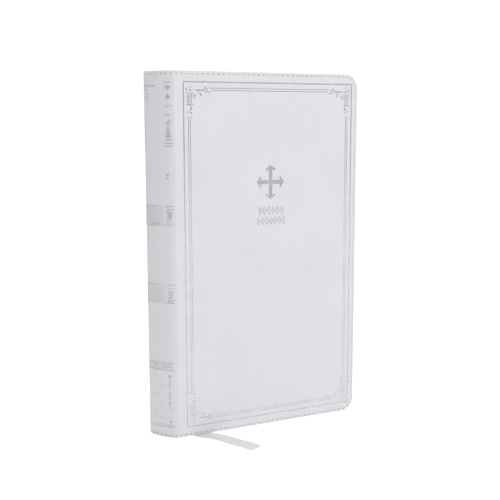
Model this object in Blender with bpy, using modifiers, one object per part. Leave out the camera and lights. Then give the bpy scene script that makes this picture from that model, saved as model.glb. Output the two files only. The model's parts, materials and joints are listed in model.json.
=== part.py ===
"""A thick bible with a soft white cover, standing closed on its foot, its ribbon marker lying in front of it.

The book is built as a bookbinder puts it together: a case of two boards and a spine strip inside one
leather-like skin, endpapers, a block of sewn sections with a rounded back, mull and paper linings, head
and tail bands, a ribbon, stamped foil and an edge seam. X runs from the spine to the fore-edge, Y from the
front cover to the back cover, and Z up. The origin is at the foot of the spine, in the middle of its wall.
Both covers, and the leaves that open with them, turn about an upright axis along their joint.
"""

import math

import bmesh
import bpy
from mathutils import Matrix, Vector
from mathutils.geometry import delaunay_2d_cdt

MM = 0.001

# Whole book
HEIGHT = 213.0 * MM
THICKNESS = 32.0 * MM
FORE_EDGE_X = 132.0 * MM
CORNER_RADIUS = 8.5 * MM
CORNER_STEPS = 7
HALF = THICKNESS / 2

# Rounded spine, seen from above: a superellipse whose crest is softened over SPINE_CREST
SPINE_BULGE = 10.8 * MM
SPINE_POWER = 1.2
SPINE_CREST = 2.0 * MM
SPINE_STEPS = 24

# Layers, from the outside in, with the sliver of air that keeps two glued layers apart
GAP = 0.02 * MM
SKIN = 0.8 * MM
BOARD = 0.8 * MM
TURN_IN = 0.3 * MM
TURN_IN_WIDTH = 14.0 * MM
PASTEDOWN = 0.14 * MM
FLYLEAF = 0.14 * MM
INLAY = 0.5 * MM
HOLLOW = 0.5 * MM
LINING = 0.2 * MM
MULL = 0.25 * MM
SEWING = 0.2 * MM
BACK_AIR = 0.1 * MM
SHOULDER_X = SPINE_BULGE - SKIN / 2
COVER = SKIN + GAP + BOARD + GAP + TURN_IN + GAP + PASTEDOWN

# Joints of the covers
HINGE_X = 12.7 * MM
HINGE_OUTSIDE = 0.1 * MM
SPLIT = 0.15 * MM
BOARD_START_X = 15.5 * MM
HINGE_Y = HALF + HINGE_OUTSIDE
PASTEDOWN_INSET = 4.0 * MM
MULL_MARGIN = 15.0 * MM
MULL_WING_END = HINGE_X + 26.0 * MM

# Text block
SQUARE = 3.1 * MM
PAGE_CORNER_RADIUS = 6.0 * MM
BLOCK_HALF = HALF - COVER - GAP
LINING_SINK = SKIN + GAP + INLAY + HOLLOW
MULL_SINK = LINING_SINK + LINING + GAP
SEWING_SINK = MULL_SINK + MULL + BACK_AIR
BLOCK_SINK = SEWING_SINK + SEWING + BACK_AIR
BLOCK_SHIFT = BLOCK_SINK - (HALF - BLOCK_HALF)
LEAF_WIDTH = FORE_EDGE_X - SQUARE - SHOULDER_X
FOLD_HOLLOW = 0.35 * MM
THICK_LEAVES = 1.0 * MM
RIBBON_SLOT = 0.5 * MM
FRONT_LEAVES = (0.3 * MM, 0.5 * MM, 0.8 * MM, 1.2 * MM, 1.6 * MM, 2.0 * MM)
BACK_LEAVES = (0.4 * MM, 0.9 * MM, 1.6 * MM)
SECTIONS = 8
LINING_MARGIN = 16.0 * MM
BAND_RADIUS = 0.7 * MM
SEWING_ROWS = 5
SEWING_MARGIN = 24.0 * MM

# Seam
SEAM_INSET = 1.6 * MM
THREAD = 0.2 * MM
SEAM_GROOVE = 0.8 * MM
SEAM_DEPTH = 0.6 * MM

# Foil stamping
FOIL = 0.04 * MM
FRAME_LEFT_X = 16.8 * MM
FRAME_MARGIN = 6.1 * MM
FRAME_FORE_MARGIN = 4.5 * MM
FRAME_LINE = 0.7 * MM
FINE_LINE = 0.45 * MM
FINE_OFFSETS = (3.1 * MM, 4.4 * MM)
CORNER_ALONG = 17.0 * MM
CORNER_UP = 22.0 * MM
CROSS_Z = 149.1 * MM
CROSS_WIDTH = 18.3 * MM
CROSS_HEIGHT = 20.3 * MM
CROSS_BAR = 2.5 * MM
CROSS_HEAD = 6.6 * MM
TITLE_ROWS = ((132.2 * MM, 17.6 * MM, 6), (126.0 * MM, 19.6 * MM, 7))
TITLE_HEIGHT = 5.3 * MM
TITLE_HAIRLINE = 0.3 * MM
SPINE_FOIL_TRIM = 2
SPINE_RULE = 0.5 * MM
SPINE_RULE_PITCH = 1.2 * MM
SPINE_STRING_Y = 13.85 * MM
SPINE_LOZENGE = 2.4 * MM
SPINE_PANELS = (
    ("spine_foil_head_panel", 170.4 * MM, 206.9 * MM, 7),
    ("spine_foil_upper_band", 125.9 * MM, 137.3 * MM, 3),
    ("spine_foil_middle_band", 80.9 * MM, 92.0 * MM, 3),
    ("spine_foil_tail_panel", 6.6 * MM, 45.4 * MM, 7),
)
SPINE_MARK_Z = 154.0 * MM
SPINE_MARK_HEIGHT = 3.4 * MM
SPINE_MARK_RULE = 0.4 * MM

# Ribbon marker
RIBBON_WIDTH = 9.0 * MM
RIBBON = 0.2 * MM
RIBBON_Z = -0.15 * MM
RIBBON_JOINT_Y = -HALF - 0.8 * MM
RIBBON_X = 26.1 * MM
RIBBON_TAIL_LENGTH = 36.0 * MM
RIBBON_TAIL_HEADING = (0.49, -0.87, 0.0)
RIBBON_TAIL_BOW = 1.6 * MM

WHITE_SKIN = (0.78, 0.78, 0.79)
WHITE_PAPER = (0.86, 0.86, 0.84)
GREY_BOARD = (0.45, 0.43, 0.40)
COTTON = (0.80, 0.80, 0.78)
SATIN = (0.82, 0.82, 0.83)
SILVER = (0.55, 0.55, 0.57)


for item in list(bpy.data.objects):
    bpy.data.objects.remove(item, do_unlink=True)


def new_collection(name):
    collection = bpy.data.collections.new(name)
    bpy.context.scene.collection.children.link(collection)
    return collection


PARTS = new_collection("bible")
CUTTERS = new_collection("bible_cutters")


# --- materials ---------------------------------------------------------------------------------------


def paint(item, colour, roughness, metallic=0.0):
    material = bpy.data.materials.new(item.name)
    material.use_nodes = True
    shader = material.node_tree.nodes["Principled BSDF"]
    shader.inputs["Base Color"].default_value = (*colour, 1.0)
    shader.inputs["Roughness"].default_value = roughness
    shader.inputs["Metallic"].default_value = metallic
    item.data.materials.clear()
    item.data.materials.append(material)
    return item


def leathersoft(item):
    return paint(item, WHITE_SKIN, 0.55)


def paper(item):
    return paint(item, WHITE_PAPER, 0.8)


def card(item):
    return paint(item, GREY_BOARD, 0.9)


def cotton(item):
    return paint(item, COTTON, 0.85)


def satin(item):
    return paint(item, SATIN, 0.35)


def foil(item):
    return paint(item, SILVER, 0.35, 0.8)


def show(item):
    PARTS.objects.link(item)
    return item


def use_as_cutter(item):
    item.hide_render = True
    item.display_type = "WIRE"
    CUTTERS.objects.link(item)
    return item


def axis_empty(name, location):
    empty = bpy.data.objects.new(name, None)
    empty.location = location
    PARTS.objects.link(empty)
    return empty


def hang_on(empty, *items):
    """Parents items to the empty on their joint's axis, and leaves them where they are."""
    for item in items:
        item.parent = empty
        item.matrix_parent_inverse = Matrix.Translation(-empty.location)


# --- outlines ----------------------------------------------------------------------------------------


def spine_x(y, sink_x=0.0, sink_y=0.0):
    """X of the rounded back at a distance y from the middle plane, for a surface sunk below the skin."""
    from_crest = math.hypot(y, SPINE_CREST) - SPINE_CREST
    to_shoulder = math.hypot(HALF - sink_y, SPINE_CREST) - SPINE_CREST
    share = max(0.0, 1.0 - (from_crest / to_shoulder) ** SPINE_POWER)
    return SHOULDER_X - (SPINE_BULGE - sink_x) * share ** (1.0 / SPINE_POWER)


def spine_line(sink_x, sink_y, trim=0):
    """Points along the rounded back from front to back, closer together near the shoulders.

    trim leaves out that many points at each end, so that layers of unequal width keep their chords level.
    """
    points = []
    for i in range(trim, SPINE_STEPS + 1 - trim):
        y = (HALF - sink_y) * math.sin(math.pi * (i / SPINE_STEPS - 0.5))
        points.append((spine_x(y, sink_x, sink_y), y))
    return points


def rounded_outline(left, right, bottom, top, radius, steps=CORNER_STEPS):
    """Counter-clockwise outline, its two right-hand corners rounded."""
    points = [(left, bottom)]
    for centre, start in ((bottom + radius, -90.0), (top - radius, 0.0)):
        for step in range(steps + 1):
            angle = math.radians(start + 90.0 * step / steps)
            points.append((right - radius + radius * math.cos(angle), centre + radius * math.sin(angle)))
    points.append((left, top))
    return points


def rectangle(left, right, bottom, top):
    return [(left, bottom), (right, bottom), (right, top), (left, top)]


def stroke(points, width):
    """Outline of a line of even width drawn through points."""
    left, right = [], []
    for i, point in enumerate(points):
        along = Vector(points[min(i + 1, len(points) - 1)]) - Vector(points[max(i - 1, 0)])
        along.normalize()
        side = Vector((-along.y, along.x)) * width / 2
        left.append(tuple(Vector(point) + side))
        right.append(tuple(Vector(point) - side))
    return right + left[::-1]


def lozenge(x, z, width, height):
    return [(x - width / 2, z), (x, z - height / 2), (x + width / 2, z), (x, z + height / 2)]


def scroll(x, z, radius, start, turn, steps=8):
    """Points of a curl round (x, z) that tightens to a third of its radius; angles in degrees."""
    points = []
    for i in range(steps + 1):
        share = i / steps
        angle = math.radians(start + turn * share)
        reach = radius * (1.0 - 0.67 * share)
        points.append((x + reach * math.cos(angle), z + reach * math.sin(angle)))
    return points


# --- solids ------------------------------------------------------------------------------------------


def flat_curve(name, outlines, depth):
    """A 2D curve of one or more closed outlines, filled and extruded; an outline inside another is a hole."""
    curve = bpy.data.curves.new(name, "CURVE")
    curve.dimensions = "2D"
    curve.fill_mode = "BOTH"
    curve.extrude = depth / 2
    for outline in outlines:
        spline = curve.splines.new("POLY")
        spline.points.add(len(outline) - 1)
        for point, (x, y) in zip(spline.points, outline):
            point.co = (x, y, 0.0, 1.0)
        spline.use_cyclic_u = True
    return bpy.data.objects.new(name, curve)


def upright(name, outlines, front, back):
    """A slab whose outlines are in X and Z, solid between two values of Y."""
    item = flat_curve(name, outlines, back - front)
    item.rotation_euler = (math.pi / 2, 0.0, 0.0)
    item.location = (0.0, (front + back) / 2, 0.0)
    return meshed(item)


def standing(name, outlines, bottom, top):
    """A column whose outlines are in X and Y, solid between two heights."""
    item = flat_curve(name, outlines, top - bottom)
    item.location = (0.0, 0.0, (bottom + top) / 2)
    return meshed(item)


def meshed(item):
    """The curve object as a welded mesh object in the same place, so that it can be cut and bevelled."""
    scene = bpy.context.scene.collection
    scene.objects.link(item)
    bpy.context.view_layer.update()
    depsgraph = bpy.context.evaluated_depsgraph_get()
    mesh = bpy.data.meshes.new_from_object(item.evaluated_get(depsgraph))
    name, place = item.name, item.matrix_world.copy()
    bpy.data.objects.remove(item, do_unlink=True)
    work = bmesh.new()
    work.from_mesh(mesh)
    bmesh.ops.remove_doubles(work, verts=work.verts, dist=1e-7)
    bmesh.ops.recalc_face_normals(work, faces=work.faces)
    work.to_mesh(mesh)
    work.free()
    mesh.name = name
    made = bpy.data.objects.new(name, mesh)
    made.matrix_world = place
    return made


def cut(item, *cutters):
    for cutter in cutters:
        modifier = item.modifiers.new(cutter.name, "BOOLEAN")
        modifier.operation = "DIFFERENCE"
        modifier.solver = "EXACT"
        modifier.object = use_as_cutter(cutter)
    return item


def wrapped(name, sink, thickness, shift, trim, margin):
    """A layer round the rounded back; it lies shift less deep at the shoulders than at the crest."""
    inner = sink + thickness
    outline = spine_line(sink, sink - shift, trim) + spine_line(inner, inner - shift, trim)[::-1]
    return standing(name, [outline], margin, HEIGHT - margin)


def wire(name, points, radius):
    """A round thread through points."""
    curve = bpy.data.curves.new(name, "CURVE")
    curve.dimensions = "3D"
    curve.bevel_depth = radius
    curve.bevel_resolution = 1
    curve.use_fill_caps = True
    spline = curve.splines.new("POLY")
    spline.points.add(len(points) - 1)
    for point, place in zip(spline.points, points):
        point.co = (*place, 1.0)
    return bpy.data.objects.new(name, curve)


def lofted(name, rings):
    """A closed solid through rings of equally many points, its ends capped."""
    work = bmesh.new()
    loops = [[work.verts.new(point) for point in ring] for ring in rings]
    count = len(loops[0])
    for before, after in zip(loops, loops[1:]):
        for i in range(count):
            j = (i + 1) % count
            work.faces.new((before[i], before[j], after[j], after[i]))
    work.faces.new(loops[0])
    work.faces.new(loops[-1][::-1])
    bmesh.ops.recalc_face_normals(work, faces=work.faces)
    mesh = bpy.data.meshes.new(name)
    work.to_mesh(mesh)
    work.free()
    return bpy.data.objects.new(name, mesh)


def stamped(name, polygons, place, grows=1.0):
    """Foil in the shape of overlapping flat polygons, merged into one sheet and laid on a surface.

    place turns a flat point into a point on the surface, and grows is the side on which the foil lies.
    """
    points, faces = [], []
    for polygon in polygons:
        faces.append(list(range(len(points), len(points) + len(polygon))))
        points.extend(Vector(point) for point in polygon)
    merged, _, triangles, _, _, sources = delaunay_2d_cdt(points, [], faces, 1, 1e-7)
    mesh = bpy.data.meshes.new(name)
    kept = [triangle for triangle, source in zip(triangles, sources) if source]
    mesh.from_pydata([place(*point) for point in merged], [], kept)
    mesh.validate()
    item = bpy.data.objects.new(name, mesh)
    thicken = item.modifiers.new("Thickness", "SOLIDIFY")
    thicken.thickness = FOIL
    thicken.offset = grows
    return foil(show(item))


def on_front(x, z):
    return (x, -HALF - GAP, z)


def on_spine(y, z):
    return (spine_x(y, -GAP, -GAP), y, z)


# --- case: skins, boards and inlay -------------------------------------------------------------------


def cover_outline(inset, left, radius=CORNER_RADIUS):
    return rounded_outline(left, FORE_EDGE_X - inset, inset, HEIGHT - inset, radius - inset)


def layer(side, name, outlines, near, far):
    """An upright slab between two depths below a cover's outer face; side is -1 for the front."""
    outer, inner = side * (HALF - near), side * (HALF - far)
    return upright(name, outlines, min(outer, inner), max(outer, inner))


def seam_path():
    """The seam's way round a cover: along the tail, up the fore-edge and back along the head."""
    return cover_outline(SEAM_INSET, HINGE_X + SPLIT)


def cover_skin(side, name):
    """Skin of one cover, turned in round its head, fore-edge and tail, with the seam's groove."""
    start, end = HINGE_X + SPLIT, HINGE_X - SKIN
    lip = SKIN + GAP + BOARD + GAP
    skin = layer(side, name, [cover_outline(0.0, start)], 0.0, lip + TURN_IN)
    pocket = layer(side, name + "_pocket", [cover_outline(SKIN, end)], SKIN, lip)
    opening = rounded_outline(
        end, FORE_EDGE_X - TURN_IN_WIDTH, TURN_IN_WIDTH, HEIGHT - TURN_IN_WIDTH, TURN_IN_WIDTH / 4
    )
    window = layer(side, name + "_window", [opening], SKIN + BOARD / 2, 2 * lip)
    groove_path = stroke([(end, SEAM_INSET)] + seam_path()[1:-1] + [(end, HEIGHT - SEAM_INSET)], SEAM_GROOVE)
    groove = layer(side, name + "_groove", [groove_path], -SKIN, SEAM_DEPTH)
    return leathersoft(show(cut(skin, pocket, window, groove)))


def cover_board(side, name):
    inset = SKIN + GAP
    outline = cover_outline(inset, BOARD_START_X)
    return card(show(layer(side, name, [outline], SKIN + GAP, SKIN + GAP + BOARD)))


def cover_pastedown(side, name):
    outline = cover_outline(PASTEDOWN_INSET, HINGE_X + SPLIT)
    return paper(show(layer(side, name, [outline], COVER - PASTEDOWN, COVER)))


def mull_wing(side, name):
    """The flap of mull that ties the block to a board, between the board and the pastedown."""
    outline = rectangle(HINGE_X + SPLIT, MULL_WING_END, MULL_MARGIN, HEIGHT - MULL_MARGIN)
    near = SKIN + GAP + BOARD + GAP
    return cotton(show(layer(side, name, [outline], near, near + MULL)))


def cover_seam(side, name):
    y = side * (HALF - THREAD - GAP)
    return cotton(show(wire(name, [(x, y, z) for x, z in seam_path()], THREAD)))


def legged_line(sink, end):
    """The spine's line at a depth, run on flat past both shoulders to the joints."""
    line = spine_line(sink, sink)
    return [(end, line[0][1])] + line + [(end, line[-1][1])]


def spine_skin():
    end = HINGE_X - SPLIT
    lip = SKIN + GAP + INLAY + GAP
    outline = legged_line(0.0, end) + legged_line(lip + TURN_IN, end)[::-1]
    skin = standing("spine_skin", [outline], 0.0, HEIGHT)
    past = HINGE_X + SKIN
    pocket = standing(
        "spine_skin_pocket", [legged_line(SKIN, past) + legged_line(lip, past)[::-1]], SKIN, HEIGHT - SKIN
    )
    hollow = standing(
        "spine_skin_hollow",
        [legged_line(SKIN + INLAY / 2, past)],
        TURN_IN_WIDTH,
        HEIGHT - TURN_IN_WIDTH,
    )
    rings = legged_line(-SKIN, past) + legged_line(SEAM_DEPTH, past)[::-1]
    grooves = [
        standing("spine_skin_groove_" + end_name, [rings], z - SEAM_GROOVE / 2, z + SEAM_GROOVE / 2)
        for end_name, z in (("tail", SEAM_INSET), ("head", HEIGHT - SEAM_INSET))
    ]
    return leathersoft(show(cut(skin, pocket, hollow, *grooves)))


def spine_inlay():
    inset = SKIN + GAP
    return card(show(wrapped("spine_inlay", inset, INLAY, 0.0, 3, inset)))


def spine_seam(name, z):
    sink = THREAD + GAP
    line = legged_line(sink, HINGE_X - SPLIT)
    return cotton(show(wire(name, [(x, y, z) for x, y in line], THREAD)))


# --- text block ----------------------------------------------------------------------------------------


def block_x(y):
    """Where a leaf's fold lies on the block's rounded back."""
    return spine_x(y, BLOCK_SINK, HALF - BLOCK_HALF)


def page_ring(y, left, right):
    outline = rounded_outline(left, right, SQUARE, HEIGHT - SQUARE, PAGE_CORNER_RADIUS, 5)
    return [(x, y, z) for x, z in outline]


def leaves(name, front, back, slices):
    """Leaves that turn: cut straight at the joint, their fore-edge following the rounded back."""
    rings = []
    for i in range(slices + 1):
        y = front + (back - front) * i / slices
        near_joint = HINGE_X + GAP
        rings.append(page_ring(y, near_joint, block_x(y) + LEAF_WIDTH))
    return paper(show(lofted(name, rings)))


def section(name, front, back):
    """One sewn section, folded at its back: the fold is round, so two sections meet in a shallow hollow."""
    rings = []
    slices = 4
    for i in range(slices + 1):
        share = i / slices
        y = front + (back - front) * share
        hollow = FOLD_HOLLOW * (2.0 * share - 1.0) ** 2
        rings.append(page_ring(y, block_x(y) + hollow, block_x(y) + LEAF_WIDTH))
    return paper(show(lofted(name, rings)))


def section_folds(name, outer, inner):
    """The sewn and glued folds of the leaves that turn, up to the joint."""
    steps = 9
    ys = [outer + (inner - outer) * (i / steps) ** 1.8 for i in range(steps + 1)]
    if outer > inner:
        ys.reverse()
    outline = [(block_x(y), y) for y in ys] + [(HINGE_X - GAP, ys[-1]), (HINGE_X - GAP, ys[0])]
    return paper(show(standing(name, [outline], SQUARE, HEIGHT - SQUARE)))


def stack(side, names, thicknesses):
    """Leaves laid one on another from a cover inwards; returns them and how deep the stack reaches."""
    depth = COVER + GAP
    made = []
    for name, thickness in zip(names, thicknesses):
        front, back = sorted((side * (HALF - depth), side * (HALF - depth - thickness)))
        made.append(leaves(name, front, back, 1 if thickness < THICK_LEAVES else 2))
        depth += thickness + GAP
    return made, depth


def spine_lining():
    return paper(show(wrapped("spine_lining", LINING_SINK, LINING, BLOCK_SHIFT, 2, LINING_MARGIN)))


def mull():
    return cotton(show(wrapped("mull", MULL_SINK, MULL, BLOCK_SHIFT, 1, MULL_MARGIN)))


def band(name, z, direction):
    """Head or tail band: a sewn bead on the end of the folds, following the rounded back."""
    sink = BLOCK_SINK + BAND_RADIUS
    line = spine_line(sink, sink - BLOCK_SHIFT, 4)
    level = z + direction * (BAND_RADIUS + GAP)
    return cotton(show(wire(name, [(x, y, level) for x, y in line], BAND_RADIUS)))


def sewing_thread():
    """Thread linking the sections: rows that cross the rounded back in turn, joined along its two sides."""
    sink = SEWING_SINK + SEWING / 2
    line = spine_line(sink, sink - BLOCK_SHIFT, 3)
    points = []
    for row in range(SEWING_ROWS):
        z = SEWING_MARGIN + (HEIGHT - 2 * SEWING_MARGIN) * row / (SEWING_ROWS - 1)
        points.extend((x, y, z) for x, y in (line if row % 2 == 0 else line[::-1]))
    item = wire("sewing_thread", points, SEWING / 2)
    item.data.bevel_resolution = 0
    return cotton(show(item))


# --- foil ----------------------------------------------------------------------------------------------


def frame_line():
    left, right = FRAME_LEFT_X, FORE_EDGE_X - FRAME_FORE_MARGIN
    bottom, top = FRAME_MARGIN, HEIGHT - FRAME_MARGIN
    half = FRAME_LINE / 2
    polygons = []
    for x in (left, right):
        polygons.append(rectangle(x - half, x + half, bottom - half, top + half))
    for z in (bottom, top):
        polygons.append(rectangle(left - half, right + half, z - half, z + half))
    return stamped("foil_frame_line", polygons, on_front)


def corner_ornament():
    """Strokes of one corner in millimetres along and up from the corner of the outer line."""
    near, far = (offset / MM for offset in FINE_OFFSETS)
    middle = (near + far) / 2
    along, up = CORNER_ALONG / MM, CORNER_UP / MM
    strokes = [
        ([(near, 13.0), (near, near), (11.0, near)], 0.5),
        ([(far + 0.5, 13.0), (far + 0.5, far + 0.5), (11.0, far + 0.5)], 0.5),
        ([(near - 1.0, 13.2), (far + 1.8, 13.2)], 0.5),
        ([(near, near), (far + 3.4, far + 3.4)], 0.6),
        ([(middle, 13.0), (middle, up)], 0.5),
        ([(near - 0.3, up), (far + 0.3, up)], 0.5),
        ([(11.0, middle), (along, middle)], 0.5),
        ([(along, near - 0.3), (along, far + 0.3)], 0.5),
        ([(11.2, near - 1.2), (11.2, far + 1.4)], 0.5),
        ([(far + 3.4, far + 3.4), (far + 6.2, far + 3.4), (far + 6.2, far + 1.9)], 0.45),
        (scroll(middle + 1.4, 16.6, 1.5, 180.0, -300.0), 0.45),
        (scroll(middle - 1.3, 18.8, 1.4, 0.0, -300.0), 0.45),
        (scroll(13.6, middle + 1.4, 1.5, -90.0, 300.0), 0.45),
    ]
    return [([(x * MM, z * MM) for x, z in points], width * MM) for points, width in strokes]


def frame_fine():
    """The double inner line, its four corners broken by scrolled ornaments."""
    left, right = FRAME_LEFT_X, FORE_EDGE_X - FRAME_FORE_MARGIN
    bottom, top = FRAME_MARGIN, HEIGHT - FRAME_MARGIN
    polygons = []
    for x, z, way_x, way_z in (
        (left, bottom, 1, 1), (right, bottom, -1, 1), (left, top, 1, -1), (right, top, -1, -1)
    ):
        for points, width in corner_ornament():
            polygons.append(stroke([(x + way_x * p, z + way_z * q) for p, q in points], width))
    half = FINE_LINE / 2
    for offset in FINE_OFFSETS:
        for x in (left + offset, right - offset):
            polygons.append(rectangle(x - half, x + half, bottom + CORNER_UP, top - CORNER_UP))
        for z in (bottom + offset, top - offset):
            polygons.append(rectangle(left + CORNER_ALONG, right - CORNER_ALONG, z - half, z + half))
    return stamped("foil_frame_double_line", polygons, on_front)


def cross():
    """A cross with barbed arms."""
    x = (FRAME_LEFT_X + FORE_EDGE_X - FRAME_FORE_MARGIN) / 2
    bar, head = CROSS_BAR / 2, CROSS_HEAD / 2
    barb, neck, tip = 2.9 * MM, 1.5 * MM, 0.55 * MM
    polygons = []
    for turn, reach in enumerate((CROSS_WIDTH / 2, CROSS_HEIGHT / 2) * 2):
        arm = [
            (0.0, -bar), (reach - barb, -bar), (reach - barb, -head), (reach - neck, -bar), (reach, -tip),
            (reach, tip), (reach - neck, bar), (reach - barb, head), (reach - barb, bar), (0.0, bar),
        ]
        turned = Matrix.Rotation(math.pi / 2 * turn, 2)
        polygons.append([(x + (turned @ Vector(p)).x, CROSS_Z + (turned @ Vector(p)).y) for p in arm])
    return stamped("foil_cross", polygons, on_front)


def title_row(name, z, width, count):
    """A row of slim lozenges on a hairline, in place of a title."""
    middle = (FRAME_LEFT_X + FORE_EDGE_X - FRAME_FORE_MARGIN) / 2
    pitch = width / count
    half = TITLE_HAIRLINE / 2
    polygons = [rectangle(middle - width / 2, middle + width / 2, z - half, z + half)]
    for i in range(count):
        x = middle + pitch * (i - (count - 1) / 2)
        polygons.append(lozenge(x, z, 0.62 * pitch, TITLE_HEIGHT))
    return stamped(name, polygons, on_front)


def across(z, width):
    """A line across the spine that bends where the skin's facets do."""
    ys = [y for _, y in spine_line(0.0, 0.0, SPINE_FOIL_TRIM)]
    return [(y, z - width / 2) for y in ys] + [(y, z + width / 2) for y in reversed(ys)]


def spine_panel(name, bottom, top, count):
    """A ruled panel on the spine: double rules across its ends and a string of lozenges down each side."""
    inner_bottom, inner_top = bottom + SPINE_RULE_PITCH, top - SPINE_RULE_PITCH
    polygons = [across(z, SPINE_RULE) for z in (bottom, inner_bottom, inner_top, top)]
    pitch = (inner_top - inner_bottom) / count
    for y in (-SPINE_STRING_Y, SPINE_STRING_Y):
        polygons.append(rectangle(y - SPINE_RULE / 2, y + SPINE_RULE / 2, bottom, top))
        for i in range(count):
            z = inner_bottom + pitch * (i + 0.5)
            polygons.append(lozenge(y, z, SPINE_LOZENGE, 0.7 * pitch))
    return stamped(name, polygons, on_spine, -1.0)


def spine_mark():
    """A rule between the panels, with a small lozenge on each side of the spine."""
    polygons = [across(SPINE_MARK_Z, SPINE_MARK_RULE)]
    for y in (-SPINE_STRING_Y, SPINE_STRING_Y):
        polygons.append(lozenge(y, SPINE_MARK_Z, SPINE_LOZENGE, SPINE_MARK_HEIGHT))
    return stamped("spine_foil_mark", polygons, on_spine, -1.0)


# --- ribbon ----------------------------------------------------------------------------------------------


def strip(name, stations):
    """A thin ribbon through stations: (centre, half-width vector, half-thickness vector)."""
    rings = []
    for centre, half_width, half_depth in stations:
        c, w, d = Vector(centre), Vector(half_width), Vector(half_depth)
        rings.append([c - w - d, c + w - d, c + w + d, c - w + d])
    return satin(show(lofted(name, rings)))


def ribbon_in_block(slot_y):
    """The ribbon between two sections, out at their tail and forward under the front cover's edge."""
    half_width = (RIBBON_WIDTH / 2, 0.0, 0.0)
    half = RIBBON / 2
    under_cover = -HALF + COVER + 0.4 * MM
    stations = [
        ((RIBBON_X - 15.0 * MM, slot_y, HEIGHT - SQUARE - 0.4 * MM), half_width, (0.0, -half, 0.0)),
        ((RIBBON_X - 0.8 * MM, slot_y, SQUARE - 0.2 * MM), half_width, (0.0, -half, 0.0)),
        ((RIBBON_X - 0.6 * MM, slot_y - 0.4 * MM, 1.9 * MM), half_width, (0.0, -0.7 * half, 0.7 * half)),
        ((RIBBON_X - 0.5 * MM, slot_y - 1.8 * MM, 1.1 * MM), half_width, (0.0, -0.3 * half, half)),
        ((RIBBON_X - 0.2 * MM, under_cover, RIBBON_Z), half_width, (0.0, 0.0, half)),
        ((RIBBON_X, RIBBON_JOINT_Y + GAP, RIBBON_Z), half_width, (0.0, 0.0, half)),
    ]
    return strip("ribbon_in_block", stations)


def ribbon_tail():
    """The ribbon's loose end, lying slantwise on the table in a slight bow, its end cut square."""
    steps = 6
    heading = Vector(RIBBON_TAIL_HEADING).normalized()
    across_it = Vector((-heading.y, heading.x, 0.0))
    start = Vector((RIBBON_X, RIBBON_JOINT_Y - GAP, RIBBON_Z))
    half = (0.0, 0.0, RIBBON / 2)
    stations = [(start, (RIBBON_WIDTH / 2, 0.0, 0.0), half)]
    for i in range(1, steps + 1):
        share = i / steps
        bow = RIBBON_TAIL_BOW * math.sin(math.pi * share)
        centre = start + heading * (RIBBON_TAIL_LENGTH * share) + across_it * bow
        stations.append((centre, across_it * RIBBON_WIDTH / 2, half))
    return strip("ribbon_tail", stations)


# --- the whole book ------------------------------------------------------------------------------------


def build_case():
    """Both covers and the spine; returns the pieces that turn with the front and with the back cover."""
    turning = {}
    for side, name in ((-1, "front"), (1, "back")):
        turning[name] = [
            cover_skin(side, name + "_cover_skin"),
            cover_board(side, name + "_board"),
            mull_wing(side, name + "_mull_wing"),
            cover_pastedown(side, name + "_pastedown"),
            cover_seam(side, name + "_seam"),
        ]
    spine_skin()
    spine_inlay()
    spine_seam("spine_seam_tail", SEAM_INSET)
    spine_seam("spine_seam_head", HEIGHT - SEAM_INSET)
    return turning


def build_block():
    """Leaves that turn, fixed sections and their folds, and what holds them together."""
    front_names = ["front_flyleaf"] + [f"front_leaves_{i + 1}" for i in range(len(FRONT_LEAVES))]
    back_names = ["back_flyleaf"] + [f"back_leaves_{i + 1}" for i in range(len(BACK_LEAVES))]
    front, front_depth = stack(-1, front_names, (FLYLEAF,) + FRONT_LEAVES)
    back, back_depth = stack(1, back_names, (FLYLEAF,) + BACK_LEAVES)
    first, last = -HALF + front_depth + RIBBON_SLOT, HALF - back_depth
    section_folds("front_section_folds", -BLOCK_HALF, first - RIBBON_SLOT - GAP)
    section_folds("back_section_folds", BLOCK_HALF, last + GAP)
    pitch = (last - first) / SECTIONS
    for i in range(SECTIONS):
        section(f"section_{i + 1}", first + pitch * i, first + pitch * (i + 1) - GAP)
    mull()
    spine_lining()
    sewing_thread()
    band("headband", HEIGHT - SQUARE, 1)
    band("tailband", SQUARE, -1)
    ribbon_in_block(first - RIBBON_SLOT / 2)
    return front, back


def build_foil():
    """Stamping on the front cover, which turns with it, and on the spine."""
    on_cover = [frame_line(), frame_fine(), cross()]
    for name, (z, width, count) in zip(("foil_title_row_upper", "foil_title_row_lower"), TITLE_ROWS):
        on_cover.append(title_row(name, z, width, count))
    for name, bottom, top, count in SPINE_PANELS:
        spine_panel(name, bottom, top, count)
    spine_mark()
    return on_cover


case = build_case()
front_leaves, back_leaves = build_block()
cover_foil = build_foil()
front_axis = axis_empty("front_joint_axis", Vector((HINGE_X, -HINGE_Y, 0.0)))
back_axis = axis_empty("back_joint_axis", Vector((HINGE_X, HINGE_Y, 0.0)))
ribbon_underside = Vector((RIBBON_X, RIBBON_JOINT_Y, RIBBON_Z - RIBBON / 2))
ribbon_axis = axis_empty("ribbon_joint_axis", ribbon_underside)
hang_on(front_axis, *case["front"], *front_leaves, *cover_foil)
hang_on(back_axis, *case["back"], *back_leaves)
hang_on(ribbon_axis, ribbon_tail())
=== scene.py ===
"""Looks of a white bible: case, leaves, seams, silver stamping, bands and ribbon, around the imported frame.

X runs from the spine to the fore-edge, Y from the front cover to the back one and Z up, in metres. Depth is
measured inwards from the book's outer face.
"""

import bisect
import functools
import json
import math
import random

import bmesh
import bpy
from mathutils import Matrix, Vector
from mathutils.geometry import delaunay_2d_cdt


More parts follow.
